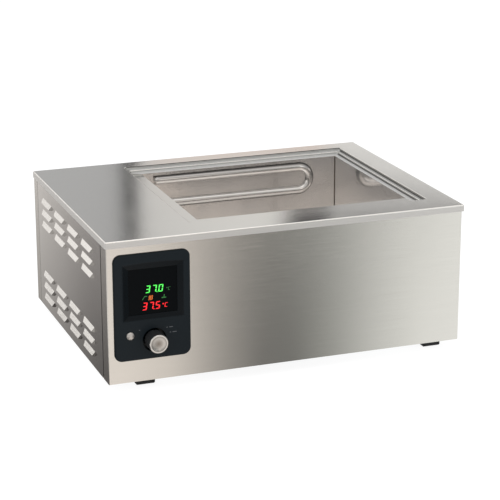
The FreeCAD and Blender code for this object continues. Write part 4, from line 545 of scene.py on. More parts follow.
@dataclass(frozen=True)
class SmokedWindow(Coating):
    """A dark, polished window that lets the lit figures through."""

    name: str = "smoked_window"
    tone: Colour = (0.0012, 0.0022, 0.0030)

    def lay(self, book: NodeBook) -> None:
        """Lay out the finish's nodes.

        Args:
            book: where they go.
        """
        haze = book.noise((90.0, 90.0, 90.0), 3.0, 0.6)
        dust = book.noise((1500.0, 1500.0, 1500.0), 1.0, 0.5)
        book.surface({
            "Base Color": book.mix(dust.span(0.66, 0.8) * 0.25, self.tone, (0.03, 0.03, 0.03)),
            "Roughness": haze * 0.12 + 0.14, "Specular IOR Level": 0.05,
            "Normal": book.bump(haze, 0.00002, 0.3),
        })


@dataclass(frozen=True)
class Glow(Coating):
    """A lit display segment, its glow mottled in small cells."""

    colour: Colour
    strength: float

    def lay(self, book: NodeBook) -> None:
        """Lay out the finish's nodes.

        Args:
            book: where they go.
        """
        cells = book.noise((700.0, 700.0, 700.0), 1.0, 0.5)
        dim = tuple(part * 0.72 for part in self.colour)
        book.surface({
            "Base Color": (0.01, 0.01, 0.01), "Roughness": 0.4,
            "Emission Color": book.mix(cells.span(0.3, 0.7), dim, self.colour),
            "Emission Strength": self.strength,
        })


@dataclass(frozen=True)
class FibreMat(Coating):
    """Needled mineral fibre: fuzzy, mottled and soft."""

    name: str = "mineral_fibre"
    tone: Colour = (0.62, 0.57, 0.44)

    def lay(self, book: NodeBook) -> None:
        """Lay out the finish's nodes.

        Args:
            book: where they go.
        """
        fibre = book.noise((500.0, 500.0, 120.0), 6.0, 0.7)
        tuft = book.noise((60.0, 60.0, 60.0), 3.0, 0.6)
        darker = tuple(part * 0.6 for part in self.tone)
        book.surface({
            "Base Color": book.mix(fibre.span(0.3, 0.7) * 0.6 + tuft * 0.4, darker, self.tone),
            "Roughness": tuft * 0.1 + 0.85,
            "Normal": book.bump(fibre + tuft, 0.0006, 0.8),
        })


@dataclass(frozen=True)
class BoardLaminate(Coating):
    """Circuit board: solder resist over straight copper tracks and tinned pads."""

    name: str = "board_laminate"

    def lay(self, book: NodeBook) -> None:
        """Lay out the finish's nodes.

        Args:
            book: where they go.
        """
        place = book.scaled(book.position(), (160.0, 90.0, 160.0))
        settings = {"feature": "F1", "distance": "CHEBYCHEV"}
        cell = book.value("ShaderNodeTexVoronoi", settings, {"Vector": place, "Scale": 1.0}, "Distance")
        track = cell.span(0.30, 0.34) * (1.0 - cell.span(0.40, 0.44))
        pad = 1.0 - cell.span(0.07, 0.10)
        resist = book.mix(track * 0.6, (0.012, 0.085, 0.035), (0.03, 0.17, 0.06))
        book.surface({
            "Base Color": book.mix(pad, resist, (0.62, 0.60, 0.55)),
            "Metallic": pad, "Roughness": 0.34 - pad * 0.08,
            "Normal": book.bump(track + pad, 0.00008, 0.6),
        })


@dataclass(frozen=True)
class Laminations(Coating):
    """Varnished iron sheets stacked side by side."""

    name: str = "iron_laminations"

    def lay(self, book: NodeBook) -> None:
        """Lay out the finish's nodes.

        Args:
            book: where they go.
        """
        stack = book.noise((14.0, 14.0, 2000.0), 2.0, 0.5)
        rust = book.noise((120.0, 120.0, 120.0), 4.0, 0.6)
        book.surface({
            "Base Color": book.mix(stack.span(0.35, 0.65), (0.035, 0.030, 0.026), (0.14, 0.12, 0.10)),
            "Metallic": 0.6, "Roughness": rust * 0.3 + 0.3,
            "Normal": book.bump(stack, 0.0002, 0.6),
        })


class Finish(Enum):
    """Every finish on the bath."""

    CASE_SHEET = SheetSteel("case_sheet", Grain.ALONG_X)
    SIDE_SHEET = SheetSteel("side_sheet", Grain.ALONG_Y)
    LOUVRED_SHEET = LouvredSheet("louvred_sheet", Grain.ALONG_Y, (0.68, 0.665, 0.645))
    DECK_SHEET = SheetSteel("deck_sheet", Grain.ALONG_X, (0.64, 0.63, 0.61), 0.085, 0.000008)
    # the skirt: the case sheet in a darker tone with less metal, painted light and shade for how the light
    # falls on it
    SKIRT = SheetSteel("skirt_painted_light_and_shade", Grain.ALONG_X, (0.60, 0.58, 0.55), 0.34, 0.00002, 0.14, 0.30)
    # painted highlights: bright copies of the sheet on the rim's lip and on every bend
    PAINTED_LIP_HIGHLIGHT = SheetSteel("rim_lip_painted_highlight", Grain.ALONG_X, (0.86, 0.85, 0.83), 0.20, 0.000004, 0.04)
    PAINTED_FOLD_HIGHLIGHT = SheetSteel("fold_painted_highlight", Grain.ALONG_X, (0.86, 0.85, 0.83), 0.20, 0.000004, 0.04)
    # painted shade on the step risers and near-black painted shadow in the creases at their feet
    PAINTED_RISER_SHADE = SheetSteel("step_riser_painted_shade", Grain.ALONG_X, (0.34, 0.33, 0.32), 0.30, 0.00001, 0.10)
    PAINTED_CREASE_SHADOW = SheetSteel("step_crease_painted_shadow", Grain.ALONG_X, (0.05, 0.047, 0.045), 0.35, 0.00001, 0.10)
    # painted light: copies of the sheet with less metal on the step's shelf and ledge, and on the rear side's
    # riser and crease
    PAINTED_SHELF_LIGHT = SheetSteel("step_shelf_painted_light", Grain.ALONG_X, (0.52, 0.52, 0.50), 0.28, 0.00001, 0.06, 0.35)
    PAINTED_LEDGE_LIGHT = SheetSteel("step_ledge_painted_light", Grain.ALONG_X, (0.66, 0.655, 0.64), 0.28, 0.00001, 0.06, 0.35)
    TANK_SHEET = TankSheet("tank_sheet", Grain.ALONG_X, (0.91, 0.885, 0.86), 0.08, 0.00001, 0.05, 0.87)
    ZINC = Metal("zinc_plate", (0.55, 0.57, 0.60), 0.42, (500.0, 500.0, 500.0), 0.00004, 0.25)
    SHEATH = Metal("heater_sheath", (0.42, 0.40, 0.38), 0.36)
    # the corner welds are real; their dark tone is painted shade that draws a dark line in each upright
    # corner of the tank
    WELD = Metal("weld_painted_corner_shade", (0.20, 0.175, 0.15), 0.38, (300.0, 300.0, 300.0), 0.0001, 0.35)
    CAP = TurnedFace("turned_cap_painted_shade", (0.68, 0.67, 0.655), "knob_cap", 12.0 * MM)
    BUTTON = Metal("satin_button", (0.58, 0.555, 0.53), 0.52, (1400.0, 1400.0, 1400.0), 0.000001, 0.04)
    NICKEL = Metal("nickelled_brass", (0.68, 0.63, 0.54), 0.30)
    ALUMINIUM = Metal("extruded_aluminium", (0.68, 0.69, 0.71), 0.40, (80.0, 80.0, 2000.0), 0.00006, 0.15)
    CONTROL_BLACK = BezelPlastic("control_black", (0.0065, 0.0105, 0.0135), 0.40, 0.0007, 0.00003)
    DARK_BLACK = Moulding("deep_black", (0.010, 0.010, 0.011), 0.42)
    KNOB_BLACK = Moulding("knob_black", (0.017, 0.018, 0.019), 0.46, sheen=0.5)
    RUBBER = Moulding("foot_rubber", (0.012, 0.012, 0.013), 0.72, 0.0012, 0.0001)
    NYLON = Moulding("natural_nylon", (0.58, 0.56, 0.49), 0.5)
    SILICONE = Moulding("lead_silicone", (0.42, 0.10, 0.08), 0.55)
    PALE_LEAD = Moulding("pale_lead", (0.45, 0.44, 0.40), 0.5)
    GREY_RIBBON = Moulding("grey_ribbon", (0.26, 0.27, 0.28), 0.5)
    PRINT = Moulding("grey_print", (0.09, 0.095, 0.10), 0.6)
    RED_DOT = Moulding("status_red", (0.25, 0.02, 0.015), 0.4)
    WINDOW = SmokedWindow()
    GREEN_LIT = Glow("green_lit", (0.09, 1.0, 0.11), 1.6)
    GREEN_DIM = Glow("green_dim", (0.012, 0.30, 0.035), 0.62)
    RED_LIT = Glow("red_lit", (1.0, 0.004, 0.012), 1.6)
    AMBER_LIT = Glow("amber_lit", (1.0, 0.20, 0.02), 0.95)
    FIBRE = FibreMat()
    LAMINATE = BoardLaminate()
    IRON = Laminations()


class FinishShop:
    """Builds each finish once and puts it on objects."""

    def __init__(self) -> None:
        """Start with no finish made."""
        self.made: dict[Finish, bpy.types.Material] = {}

    def material(self, finish: Finish) -> bpy.types.Material:
        """The material of a finish, built at its first use."""
        if finish not in self.made:
            self.made[finish] = finish.value.build()
        return self.made[finish]

    def coat(self, thing: bpy.types.Object, finish: Finish) -> None:
        """Give an object one finish all over."""
        thing.data.materials.clear()
        thing.data.materials.append(self.material(finish))

    def coat_nodes(self, names: Iterable[str], finish: Finish, edge: float = 0.0) -> None:
        """Give CAD nodes a finish, and a small rounding along their sharp edges.

        Args:
            names: the nodes.
            finish: what they get.
            edge: width of the rounding in metres, or 0 for none.
        """
        for name in names:
            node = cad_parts[name]
            self.coat(node, finish)
            if edge:
                soften(node, edge)
            LOG.info("dressed %s in %s", name, finish.name)


# ---------------------------------------------------------------------------
# Mesh making
# ---------------------------------------------------------------------------
def soften(thing: bpy.types.Object, width: float, segments: int = 2) -> None:
    """Round an object's sharp edges with a modifier.

    Args:
        thing: the object.
        width: width of the rounding in metres.
        segments: its number of steps.
    """
    bevel = thing.modifiers.new("edge", "BEVEL")
    bevel.width = width
    bevel.segments = segments
    bevel.limit_method = "ANGLE"
    bevel.angle_limit = math.radians(38)
    bevel.harden_normals = True
    bevel.use_clamp_overlap = True


class Bench:
    """Makes meshes from simple outlines and turns them into pieces that ride on a body."""

    def __init__(self, shop: FinishShop) -> None:
        """Keep the shop that finishes the pieces."""
        self.shop = shop

    def piece(self, name: str, mesh: bmesh.types.BMesh, finish: Finish, body: str,
              smooth: bool = True, others: Sequence[Finish] = ()) -> bpy.types.Object:
        """Turn a mesh into a piece.

        Args:
            name: the piece's name.
            mesh: its shape, freed here.
            finish: its finish.
            body: the body it rides on.
            smooth: whether shading runs over shallow edges.
            others: more finishes, for faces with a material number over nought.

        Returns:
            The new object.
        """
        bmesh.ops.recalc_face_normals(mesh, faces=mesh.faces)
        slots = [face.material_index for face in mesh.faces]
        data = bpy.data.meshes.new(name)
        mesh.to_mesh(data)
        mesh.free()
        if smooth:
            data.shade_smooth()
            data.set_sharp_from_angle(angle=math.radians(32))
        made = bpy.data.objects.new(name, data)
        bpy.context.scene.collection.objects.link(made)
        self.shop.coat(made, finish)
        for other in others:
            data.materials.append(self.shop.material(other))
        data.polygons.foreach_set("material_index", slots)
        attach(made, body)
        LOG.info("made %s on %s", name, body)
        return made

    @staticmethod
    def _ring(mesh: bmesh.types.BMesh, centre: Vector, turn: Matrix, size: tuple[float, float],
              steps: int) -> list[bmesh.types.BMVert]:
        """Add a ring of points.

        Args:
            mesh: the mesh that gets them.
            centre: where the ring's axis starts.
            turn: turns Z to the ring's axis.
            size: the ring's radius, and its distance along the axis.
            steps: how many points it has.

        Returns:
            The points.
        """
        radius, along = size
        return [mesh.verts.new(centre + turn @ Vector((
            radius * math.cos(2 * math.pi * step / steps),
            radius * math.sin(2 * math.pi * step / steps), along))) for step in range(steps)]

    @staticmethod
    def _skin(mesh: bmesh.types.BMesh, rings: Sequence[list[bmesh.types.BMVert]], steps: int) -> None:
        """Lay faces from ring to ring.

        Args:
            mesh: the mesh that gets them.
            rings: the rings in order; a ring of one point is a tip.
            steps: how many points the others have.
        """
        for low, high in zip(rings, rings[1:]):
            for step in range(steps):
                after = (step + 1) % steps
                corners = [low[step % len(low)], low[after % len(low)],
                           high[after % len(high)], high[step % len(high)]]
                unique = list(dict.fromkeys(corners))
                if len(unique) > 2:
                    mesh.faces.new(unique)

    @staticmethod
    def turned(profile: Sequence[tuple[float, float]], centre: Vector, axis: Vector,
               steps: int = 64) -> bmesh.types.BMesh:
        """Turn a profile round an axis.

        Args:
            profile: points as (radius, distance along the axis), in order.
            centre: where the axis starts.
            axis: its direction.
            steps: how many points go round.

        Returns:
            The mesh.
        """
        mesh = bmesh.new()
        turn = Vector((0, 0, 1)).rotation_difference(axis).to_matrix()
        rings = []
        for radius, along in profile:
            if radius < 1e-7:
                rings.append([mesh.verts.new(centre + turn @ Vector((0, 0, along)))])
            else:
                rings.append(Bench._ring(mesh, centre, turn, (radius, along), steps))
        Bench._skin(mesh, rings, steps)
        return mesh

    @staticmethod
    def plate(outlines: Sequence[Sequence[tuple[float, float]]], origin: Vector, across: Vector, up: Vector,
              thick: float) -> bmesh.types.BMesh:
        """Extrude flat outlines.

        Args:
            outlines: closed outlines, each a list of (across, up).
            origin: where (0, 0) lies, on the back face.
            across: unit vector of the first number.
            up: unit vector of the second number.
            thick: how far the outlines are extruded, along across x up.

        Returns:
            The mesh.
        """
        mesh = bmesh.new()
        out = across.cross(up) * thick
        for outline in outlines:
            low = [mesh.verts.new(origin + across * x + up * y) for x, y in outline]
            high = [mesh.verts.new(vertex.co + out) for vertex in low]
            mesh.faces.new(high)
            mesh.faces.new(list(reversed(low)))
            for here in range(len(low)):
                after = (here + 1) % len(low)
                mesh.faces.new([low[here], low[after], high[after], high[here]])
        return mesh

    @staticmethod
    def bead(path: Sequence[Vector], radius: float, steps: int = 10,
             wobble: float = 0.0) -> bmesh.types.BMesh:
        """A round bead along a path, such as a weld.

        Args:
            path: the points that it follows.
            radius: its radius.
            steps: how many points go round it.
            wobble: height of its ripples, as a share of the radius.

        Returns:
            The mesh.
        """
        mesh = bmesh.new()
        rings = []
        for index, point in enumerate(path):
            ahead = path[min(index + 1, len(path) - 1)] - path[max(index - 1, 0)]
            turn = Vector((0, 0, 1)).rotation_difference(ahead.normalized()).to_matrix()
            size = radius * (1 + wobble * math.sin(index * 2.1))
            rings.append(Bench._ring(mesh, point, turn, (size, 0), steps))
        Bench._skin(mesh, rings, steps)
        mesh.faces.new(list(reversed(rings[0])))
        mesh.faces.new(rings[-1])
        return mesh


@dataclass(frozen=True)
class Plan:
    """A rectangle with round corners, seen from above."""

    left: float
    front: float
    right: float
    rear: float
    corner: float

    def grown(self, by: float) -> "Plan":
        """The same rectangle with each side moved out."""
        corner = max(self.corner + by, 0.05 * MM)
        return Plan(self.left - by, self.front - by, self.right + by, self.rear + by, corner)

    def loop(self, height: float, steps: int) -> list[Vector]:
        """Points round the rectangle, corner by corner from the front left.

        Args:
            height: where the points lie.
            steps: sides of each round corner.

        Returns:
            The points, against the clock as seen from above.
        """
        points = []
        left, right = self.left + self.corner, self.right - self.corner
        front, rear = self.front + self.corner, self.rear - self.corner
        corners = ((left, front, 180), (right, front, 270), (right, rear, 0), (left, rear, 90))
        for x, y, start in corners:
            for step in range(steps + 1):
                angle = math.radians(start + 90 * step / steps)
                points.append(Vector((x + self.corner * math.cos(angle), y + self.corner * math.sin(angle),
                                      height)))
        return points


# ---------------------------------------------------------------------------
# Sub-assemblies
# ---------------------------------------------------------------------------
@dataclass
class Assembly:
    """A set of pieces that belong together."""

    bench: Bench

    def dress(self) -> None:
        """Finish the CAD pieces."""

    def build(self) -> None:
        """Make the pieces that the CAD doesn't have."""


class Side(Enum):
    """A side of the rim, with the corner before it."""

    FRONT = 0
    RIGHT = 1
    REAR = 2
    LEFT = 3


@dataclass
class Deck(Assembly):
    """The folded deck: skirt, bends, top, two steps and the tank's mouth.

    Some sides of the rim have another finish than the rest: painted light and shade that suits a view from
    the front left.
    """

    bend: float = 1.6 * MM
    crest: float = 0.8 * MM
    gauge: float = 1.0 * MM
    flange: float = 6.0 * MM
    corner: float = 4.0 * MM
    upper_step: float = 5.0 * MM
    lower_step: float = 4.5 * MM
    upper_ledge: float = 6.0 * MM
    ledges: tuple[float, float, float, float] = (19.5 * MM, 41.0 * MM, 8.5 * MM, 10.0 * MM)
    corner_steps: int = 5
    bend_steps: int = 5
    crease: float = 1.5 * MM
    # the bends and the rim's lip are painted highlights, the risers painted shade, the creases painted
    # shadow, and the skirt, shelf and ledge are painted lighter or darker for how light falls on each
    finishes: tuple[Finish, ...] = (Finish.DECK_SHEET, Finish.SKIRT, Finish.PAINTED_FOLD_HIGHLIGHT, Finish.PAINTED_RISER_SHADE, Finish.PAINTED_LEDGE_LIGHT,
                                    Finish.PAINTED_CREASE_SHADOW, Finish.PAINTED_SHELF_LIGHT, Finish.PAINTED_LIP_HIGHLIGHT)
    painted_shade_by_side: Mapping[tuple[Finish, Side], Finish] = field(default_factory=lambda: {
        (Finish.PAINTED_LEDGE_LIGHT, Side.FRONT): Finish.DECK_SHEET, (Finish.PAINTED_LEDGE_LIGHT, Side.LEFT): Finish.DECK_SHEET,
        (Finish.PAINTED_SHELF_LIGHT, Side.LEFT): Finish.PAINTED_CREASE_SHADOW, (Finish.PAINTED_CREASE_SHADOW, Side.REAR): Finish.PAINTED_LEDGE_LIGHT,
        (Finish.PAINTED_RISER_SHADE, Side.REAR): Finish.PAINTED_SHELF_LIGHT, (Finish.PAINTED_LIP_HIGHLIGHT, Side.REAR): Finish.PAINTED_CREASE_SHADOW,
    })

    def _crest(self, plan: Plan, height: float, level: Finish,
               bent: Finish) -> list[tuple[Plan, float, Finish]]:
        """Rows over the bend where a level sheet turns down into a riser.

        Args:
            plan: the riser's outline.
            height: the sheet's upper face.
            level: finish of the sheet before the bend.
            bent: finish of the bend.

        Returns:
            The rows, as rows() gives them.
        """
        rows = []
        for step in range(self.bend_steps + 1):
            turn = math.pi / 2 * step / self.bend_steps
            out, down = self.crest * (1 - math.sin(turn)), self.crest * (1 - math.cos(turn))
            rows.append((plan.grown(out), height - down, bent if step else level))
        return rows

    def rows(self) -> list[tuple[Plan, float, Finish]]:
        """The deck's section from the skirt's lower edge over the top to the mouth and back underneath.

        Returns:
            Rows of an outline, its height, and the finish of the faces before it.
        """
        low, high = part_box("top_deck")
        tank_low, tank_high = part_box("tank")
        outer = Plan(low.x, low.y, high.x, high.y, self.bend)
        mouth = Plan(tank_low.x + self.flange, tank_low.y + self.flange, tank_high.x - self.flange,
                     tank_high.y - self.flange, self.gauge)
        left, front, right, rear = self.ledges
        step = Plan(mouth.left - left, mouth.front - front, mouth.right + right, mouth.rear + rear,
                    self.corner)
        rim = replace(step.grown(self.upper_ledge), corner=self.corner)
        top = high.z
        upper = top - self.upper_step
        lower = upper - self.lower_step
        rows = [(outer, low.z, Finish.SKIRT), (outer, top - self.bend, Finish.SKIRT)]
        for part in range(1, self.bend_steps + 1):
            turn = math.pi / 2 * part / self.bend_steps
            inward, down = self.bend * (1 - math.cos(turn)), self.bend * (1 - math.sin(turn))
            rows.append((outer.grown(-inward), top - down, Finish.PAINTED_FOLD_HIGHLIGHT))
        for plan, head, foot, level, bent in ((rim, top, upper, Finish.DECK_SHEET, Finish.PAINTED_LIP_HIGHLIGHT),
                                              (step, upper, lower, Finish.PAINTED_SHELF_LIGHT, Finish.PAINTED_FOLD_HIGHLIGHT)):
            rows += self._crest(plan, head, level, bent)
            rows += [(plan, foot + self.crease, Finish.PAINTED_RISER_SHADE), (plan, foot, Finish.PAINTED_CREASE_SHADOW)]
        rows += [(mouth, lower, Finish.PAINTED_LEDGE_LIGHT), (mouth, lower - self.gauge, Finish.PAINTED_FOLD_HIGHLIGHT)]
        under = Finish.DECK_SHEET
        for plan, height in ((step.grown(self.gauge), lower), (step.grown(self.gauge), upper),
                             (rim.grown(self.gauge), upper), (rim.grown(self.gauge), top)):
            rows.append((plan, height - self.gauge, under))
        inner = outer.grown(-self.gauge)
        return rows + [(inner, top - self.gauge, under), (inner, low.z, under)]

    def build(self) -> None:
        """Make the deck and hide the CAD one."""
        mesh = bmesh.new()
        rows = self.rows()
        loops = [[mesh.verts.new(point) for point in plan.loop(height, self.corner_steps)]
                 for plan, height, _ in rows]
        count = len(loops[0])
        for index, loop in enumerate(loops):
            before = loops[index - 1]
            finish = rows[index][2]
            for here in range(count):
                after = (here + 1) % count
                face = mesh.faces.new([before[here], before[after], loop[after], loop[here]])
                side = Side(here // (self.corner_steps + 1))
                face.material_index = self.finishes.index(self.painted_shade_by_side.get((finish, side), finish))
        made = self.bench.piece("folded_deck", mesh, self.finishes[0], "case", others=self.finishes[1:])
        weights = made.modifiers.new("weights", "WEIGHTED_NORMAL")
        weights.keep_sharp = True
        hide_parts("top_deck")


@dataclass
class SteelCase(Assembly):
    """Panels and base."""

    fold: float = 0.25 * MM

    def dress(self) -> None:
        """Finish the sheets."""
        shop = self.bench.shop
        shop.coat_nodes(["front_panel", "rear_panel"], Finish.CASE_SHEET, self.fold)
        shop.coat_nodes(["left_side_panel"], Finish.LOUVRED_SHEET)
        shop.coat_nodes(["right_side_panel"], Finish.SIDE_SHEET)
        shop.coat_nodes(["base_plate", "bay_wall", "foot_fasteners", "board_screws", "rear_panel_screws",
                         "heater_plate"], Finish.ZINC)


@dataclass
class TankDetails(Assembly):
    """The tank, with the welds in its four upright corners."""

    flange: float = 6 * MM
    gauge: float = 1 * MM
    weld: float = 1.2 * MM
    weld_ripple: float = 0.12
    weld_steps: int = 90

    def dress(self) -> None:
        """Finish the tank."""
        self.bench.shop.coat_nodes(["tank"], Finish.TANK_SHEET)

    def build(self) -> None:
        """Lay the corner welds."""
        low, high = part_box("tank")
        inside_low = low + Vector((self.flange, self.flange, self.gauge))
        inside_high = high - Vector((self.flange, self.flange, 0))
        for index, (x, y) in enumerate(((inside_low.x, inside_low.y), (inside_high.x, inside_low.y),
                                        (inside_high.x, inside_high.y), (inside_low.x, inside_high.y))):
            path = [Vector((x, y, inside_low.z + (inside_high.z - inside_low.z) * step / self.weld_steps))
                    for step in range(self.weld_steps + 1)]
            mesh = Bench.bead(path, self.weld, wobble=self.weld_ripple)
            self.bench.piece("corner_weld_%d" % index, mesh, Finish.WELD, "case")


@dataclass
class RubberFeet(Assembly):
    """The four feet."""

    def dress(self) -> None:
        """Finish the feet."""
        names = ["foot_front_left", "foot_front_right", "foot_rear_left", "foot_rear_right"]
        self.bench.shop.coat_nodes(names, Finish.RUBBER, 0.6 * MM)


class Segment(Enum):
    """The seven strokes of a digit, as (x, y) corners on a box one wide and two high."""

    TOP = ((0.08, 2.0), (0.92, 2.0), (0.70, 1.76), (0.30, 1.76))
    MIDDLE = ((0.14, 1.0), (0.28, 1.12), (0.72, 1.12), (0.86, 1.0), (0.72, 0.88), (0.28, 0.88))
    BOTTOM = ((0.08, 0.0), (0.30, 0.24), (0.70, 0.24), (0.92, 0.0))
    UPPER_LEFT = ((0.02, 1.94), (0.27, 1.72), (0.27, 1.16), (0.10, 1.03), (0.02, 1.08))
    UPPER_RIGHT = ((0.98, 1.94), (0.98, 1.08), (0.90, 1.03), (0.73, 1.16), (0.73, 1.72))
    LOWER_LEFT = ((0.02, 0.06), (0.02, 0.92), (0.10, 0.97), (0.27, 0.84), (0.27, 0.28))
    LOWER_RIGHT = ((0.98, 0.06), (0.73, 0.28), (0.73, 0.84), (0.90, 0.97), (0.98, 0.92))


DIGITS: dict[str, tuple[Segment, ...]] = {
    "0": (Segment.TOP, Segment.UPPER_LEFT, Segment.UPPER_RIGHT, Segment.LOWER_LEFT, Segment.LOWER_RIGHT,
          Segment.BOTTOM),
    "3": (Segment.TOP, Segment.UPPER_RIGHT, Segment.MIDDLE, Segment.LOWER_RIGHT, Segment.BOTTOM),
    "5": (Segment.TOP, Segment.UPPER_LEFT, Segment.MIDDLE, Segment.LOWER_RIGHT, Segment.BOTTOM),
    "7": (Segment.TOP, Segment.UPPER_RIGHT, Segment.LOWER_RIGHT),
    "C": (Segment.TOP, Segment.UPPER_LEFT, Segment.LOWER_LEFT, Segment.BOTTOM),
}


@dataclass
class Display(Assembly):
    """The smoked window and the lit figures on it."""

    slant: float = 0.16
    film: float = 0.06 * MM
    lift: float = 0.05 * MM

    def dress(self) -> None:
        """Finish the window."""
        self.bench.shop.coat_nodes(["display_window"], Finish.WINDOW)
        self.bench.shop.coat_nodes(["display_module"], Finish.DARK_BLACK)

    def _place(self) -> Vector:
        """The window's middle, on its front face."""
        low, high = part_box("display_window")
        return Vector(((low.x + high.x) / 2, low.y - self.lift, (low.z + high.z) / 2))

    def _lit(self, name: str, outlines: Sequence[Sequence[tuple[float, float]]], left: float, low: float,
             finish: Finish) -> None:
        """Lay lit outlines on the window, in millimetres from its middle.

        Args:
            name: the piece's name.
            outlines: closed outlines.
            left: where their zero lies, to the right of the middle.
            low: where it lies above the middle.
            finish: the lit finish.
        """
        origin = self._place() + Vector((left * MM, 0, low * MM))
        shapes = [[((x + self.slant * y) * MM, y * MM) for x, y in outline] for outline in outlines]
        mesh = Bench.plate(shapes, origin, Vector((1, 0, 0)), Vector((0, 0, 1)), self.film)
        self.bench.piece(name, mesh, finish, "case", smooth=False)

    @staticmethod
    def _digit(sign: str, left: float, width: float, height: float) -> list[list[tuple[float, float]]]:
        """One digit's strokes as outlines in millimetres."""
        return [[(left + x * width, y * height / 2) for x, y in segment.value] for segment in DIGITS[sign]]

    @staticmethod
    def _dot(left: float, low: float, size: float, sides: int = 12) -> list[tuple[float, float]]:
        """A round dot's outline."""
        turns = [2 * math.pi * side / sides for side in range(sides)]
        return [(left + size * math.cos(turn), low + size * math.sin(turn)) for turn in turns]

    def _reading(self, name: str, signs: str, left: float, low: float, size: tuple[float, float],
                 finish: Finish) -> None:
        """Lay a three-figure reading with one decimal.

        Args:
            name: the piece's name.
            signs: its figures.
            left: where it starts, in millimetres to the right of the window's middle.
            low: its foot, in millimetres above the middle.
            size: width and height of a figure in millimetres.
            finish: the lit finish.
        """
        width, height = size
        pitch = width * 1.36
        outlines = []
        for index, sign in enumerate(signs):
            outlines += self._digit(sign, index * pitch, width, height)
        outlines.append(self._dot(2 * pitch - width * 0.22, height * 0.05, height * 0.065))
        self._lit(name, outlines, left, low, finish)

    def _degrees(self, name: str, left: float, low: float, height: float, finish: Finish) -> None:
        """Lay a small degree sign and a C."""
        outlines = [self._dot(height * 0.16, height * 0.80, height * 0.17)]
        outlines += self._digit("C", height * 0.55, height * 0.78, height)
        self._lit(name, outlines, left, low, finish)

    def build(self) -> None:
        """Lay both readings and the three small signs between them."""
        self._reading("upper_reading", "370", -12.0, -2.9, (7.3, 11.2), Finish.GREEN_LIT)
        self._degrees("upper_degrees", 20.6, -1.9, 5.0, Finish.GREEN_DIM)
        self._reading("lower_reading", "375", -17.2, -29.2, (7.4, 11.6), Finish.RED_LIT)
        self._degrees("lower_degrees", 13.8, -27.6, 6.6, Finish.RED_LIT)
        ramp = [(0.0, 0.0), (1.2, 0.0), (3.6, 4.6), (7.0, 4.6), (7.0, 5.8), (3.0, 5.8)]
        self._lit("ramp_sign", [ramp], -16.8, -13.2, Finish.GREEN_DIM)
        waves = [[(x, 0.0), (x + 1.3, 0.0), (x + 2.0, 2.2), (x + 1.3, 4.4), (x + 2.0, 6.8), (x + 0.7, 6.8),
                  (x, 4.4), (x + 0.7, 2.2)] for x in (0.0, 2.2, 4.4)]
        self._lit("heating_sign", waves, -7.1, -14.2, Finish.AMBER_LIT)
        cross = [[(0.0, 1.0), (7.0, 1.0), (7.0, 2.6), (0.0, 2.6)],
                 [(2.8, 2.6), (4.2, 2.6), (4.2, 6.4), (2.8, 6.4)]]
        self._lit("level_sign", cross, 13.2, -14.4, Finish.GREEN_DIM)


@dataclass
class ControlPanel(Assembly):
    """The black bezel, the knob, the set button and the marks beside them."""

    mark: float = 0.04 * MM
    cap: tuple[float, float] = (14.2 * MM, 3.0 * MM)
    cap_rim: float = 2.2 * MM
    cap_edge: float = 0.5 * MM
    dish: float = 1.6 * MM
    button: float = 5.8 * MM
    button_dome: float = 2.8 * MM
    arc_steps: int = 10

    def dress(self) -> None:
        """Finish the bezel and what moves in it."""
        shop = self.bench.shop
        shop.coat_nodes(["control_bezel"], Finish.CONTROL_BLACK)
        shop.coat_nodes(["control_knob"], Finish.KNOB_BLACK, 0.3 * MM)
        shop.coat_nodes(["encoder_shaft", "switch_sleeve"], Finish.SHEATH)

    def _dome(self, radius: float, depth: float) -> list[tuple[float, float]]:
        """Points of an arc from its middle to its edge.

        Args:
            radius: radius of its edge.
            depth: how far the edge lies below the middle.

        Returns:
            The points as (radius, depth below the middle).
        """
        ball = (radius ** 2 + depth ** 2) / (2 * depth)
        widest = math.asin(radius / ball)
        turns = [widest * step / self.arc_steps for step in range(self.arc_steps + 1)]
        return [(ball * math.sin(turn), ball * (1 - math.cos(turn))) for turn in turns]

    def _turned(self, name: str, profile: Sequence[tuple[float, float]], node: str, finish: Finish,
                body: str) -> None:
        """Turn a piece in the place of a CAD node, about the node's own axis.

        Args:
            name: the piece's name.
            profile: points as (radius, depth behind the node's front).
            node: the CAD node.
            finish: the piece's finish.
            body: the body it rides on.
        """
        low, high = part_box(node)
        centre = Vector(((low.x + high.x) / 2, low.y, (low.z + high.z) / 2))
        made = self.bench.piece(name, Bench.turned(profile, centre, Vector((0, 1, 0))), finish, body)
        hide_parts(node)

    def turned_parts(self) -> None:
        """Make the knob's dished cap and the domed button."""
        radius, thick = self.cap
        hollow = [(reach, self.dish - depth) for reach, depth in self._dome(radius - self.cap_rim, self.dish)]
        profile = hollow + [(radius - self.cap_edge, 0.0), (radius, self.cap_edge), (radius, thick),
                            (0.0, thick)]
        self._turned("dished_cap", profile, "knob_cap", Finish.CAP, "control_knob")
        low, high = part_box("set_button")
        back = high.y - low.y
        profile = self._dome(self.button, self.button_dome) + [(self.button, back), (0.0, back)]
        self._turned("domed_button", profile, "set_button", Finish.BUTTON, "set_button")

    def build(self) -> None:
        """Make the turned parts and lay the small index marks on the bezel."""
        self.turned_parts()
        low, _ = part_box("control_bezel")
        knob_low, knob_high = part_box("control_knob")
        knob = (knob_low + knob_high) / 2
        marks = ((-24.0, 17.0, 2.0), (18.5, 16.6, 2.2), (23.0, 16.6, 5.6), (23.5, 8.3, 2.2), (28.0, 8.3, 6.4))
        for index, (right, up, width) in enumerate(marks):
            origin = Vector((knob.x + right * MM, low.y, knob.z + up * MM))
            outline = [(0, 0), (width * MM, 0), (width * MM, 1.1 * MM), (0, 1.1 * MM)]
            mesh = Bench.plate([outline], origin, Vector((1, 0, 0)), Vector((0, 0, 1)), self.mark)
            self.bench.piece("index_mark_%d" % index, mesh, Finish.PRINT, "case", smooth=False)


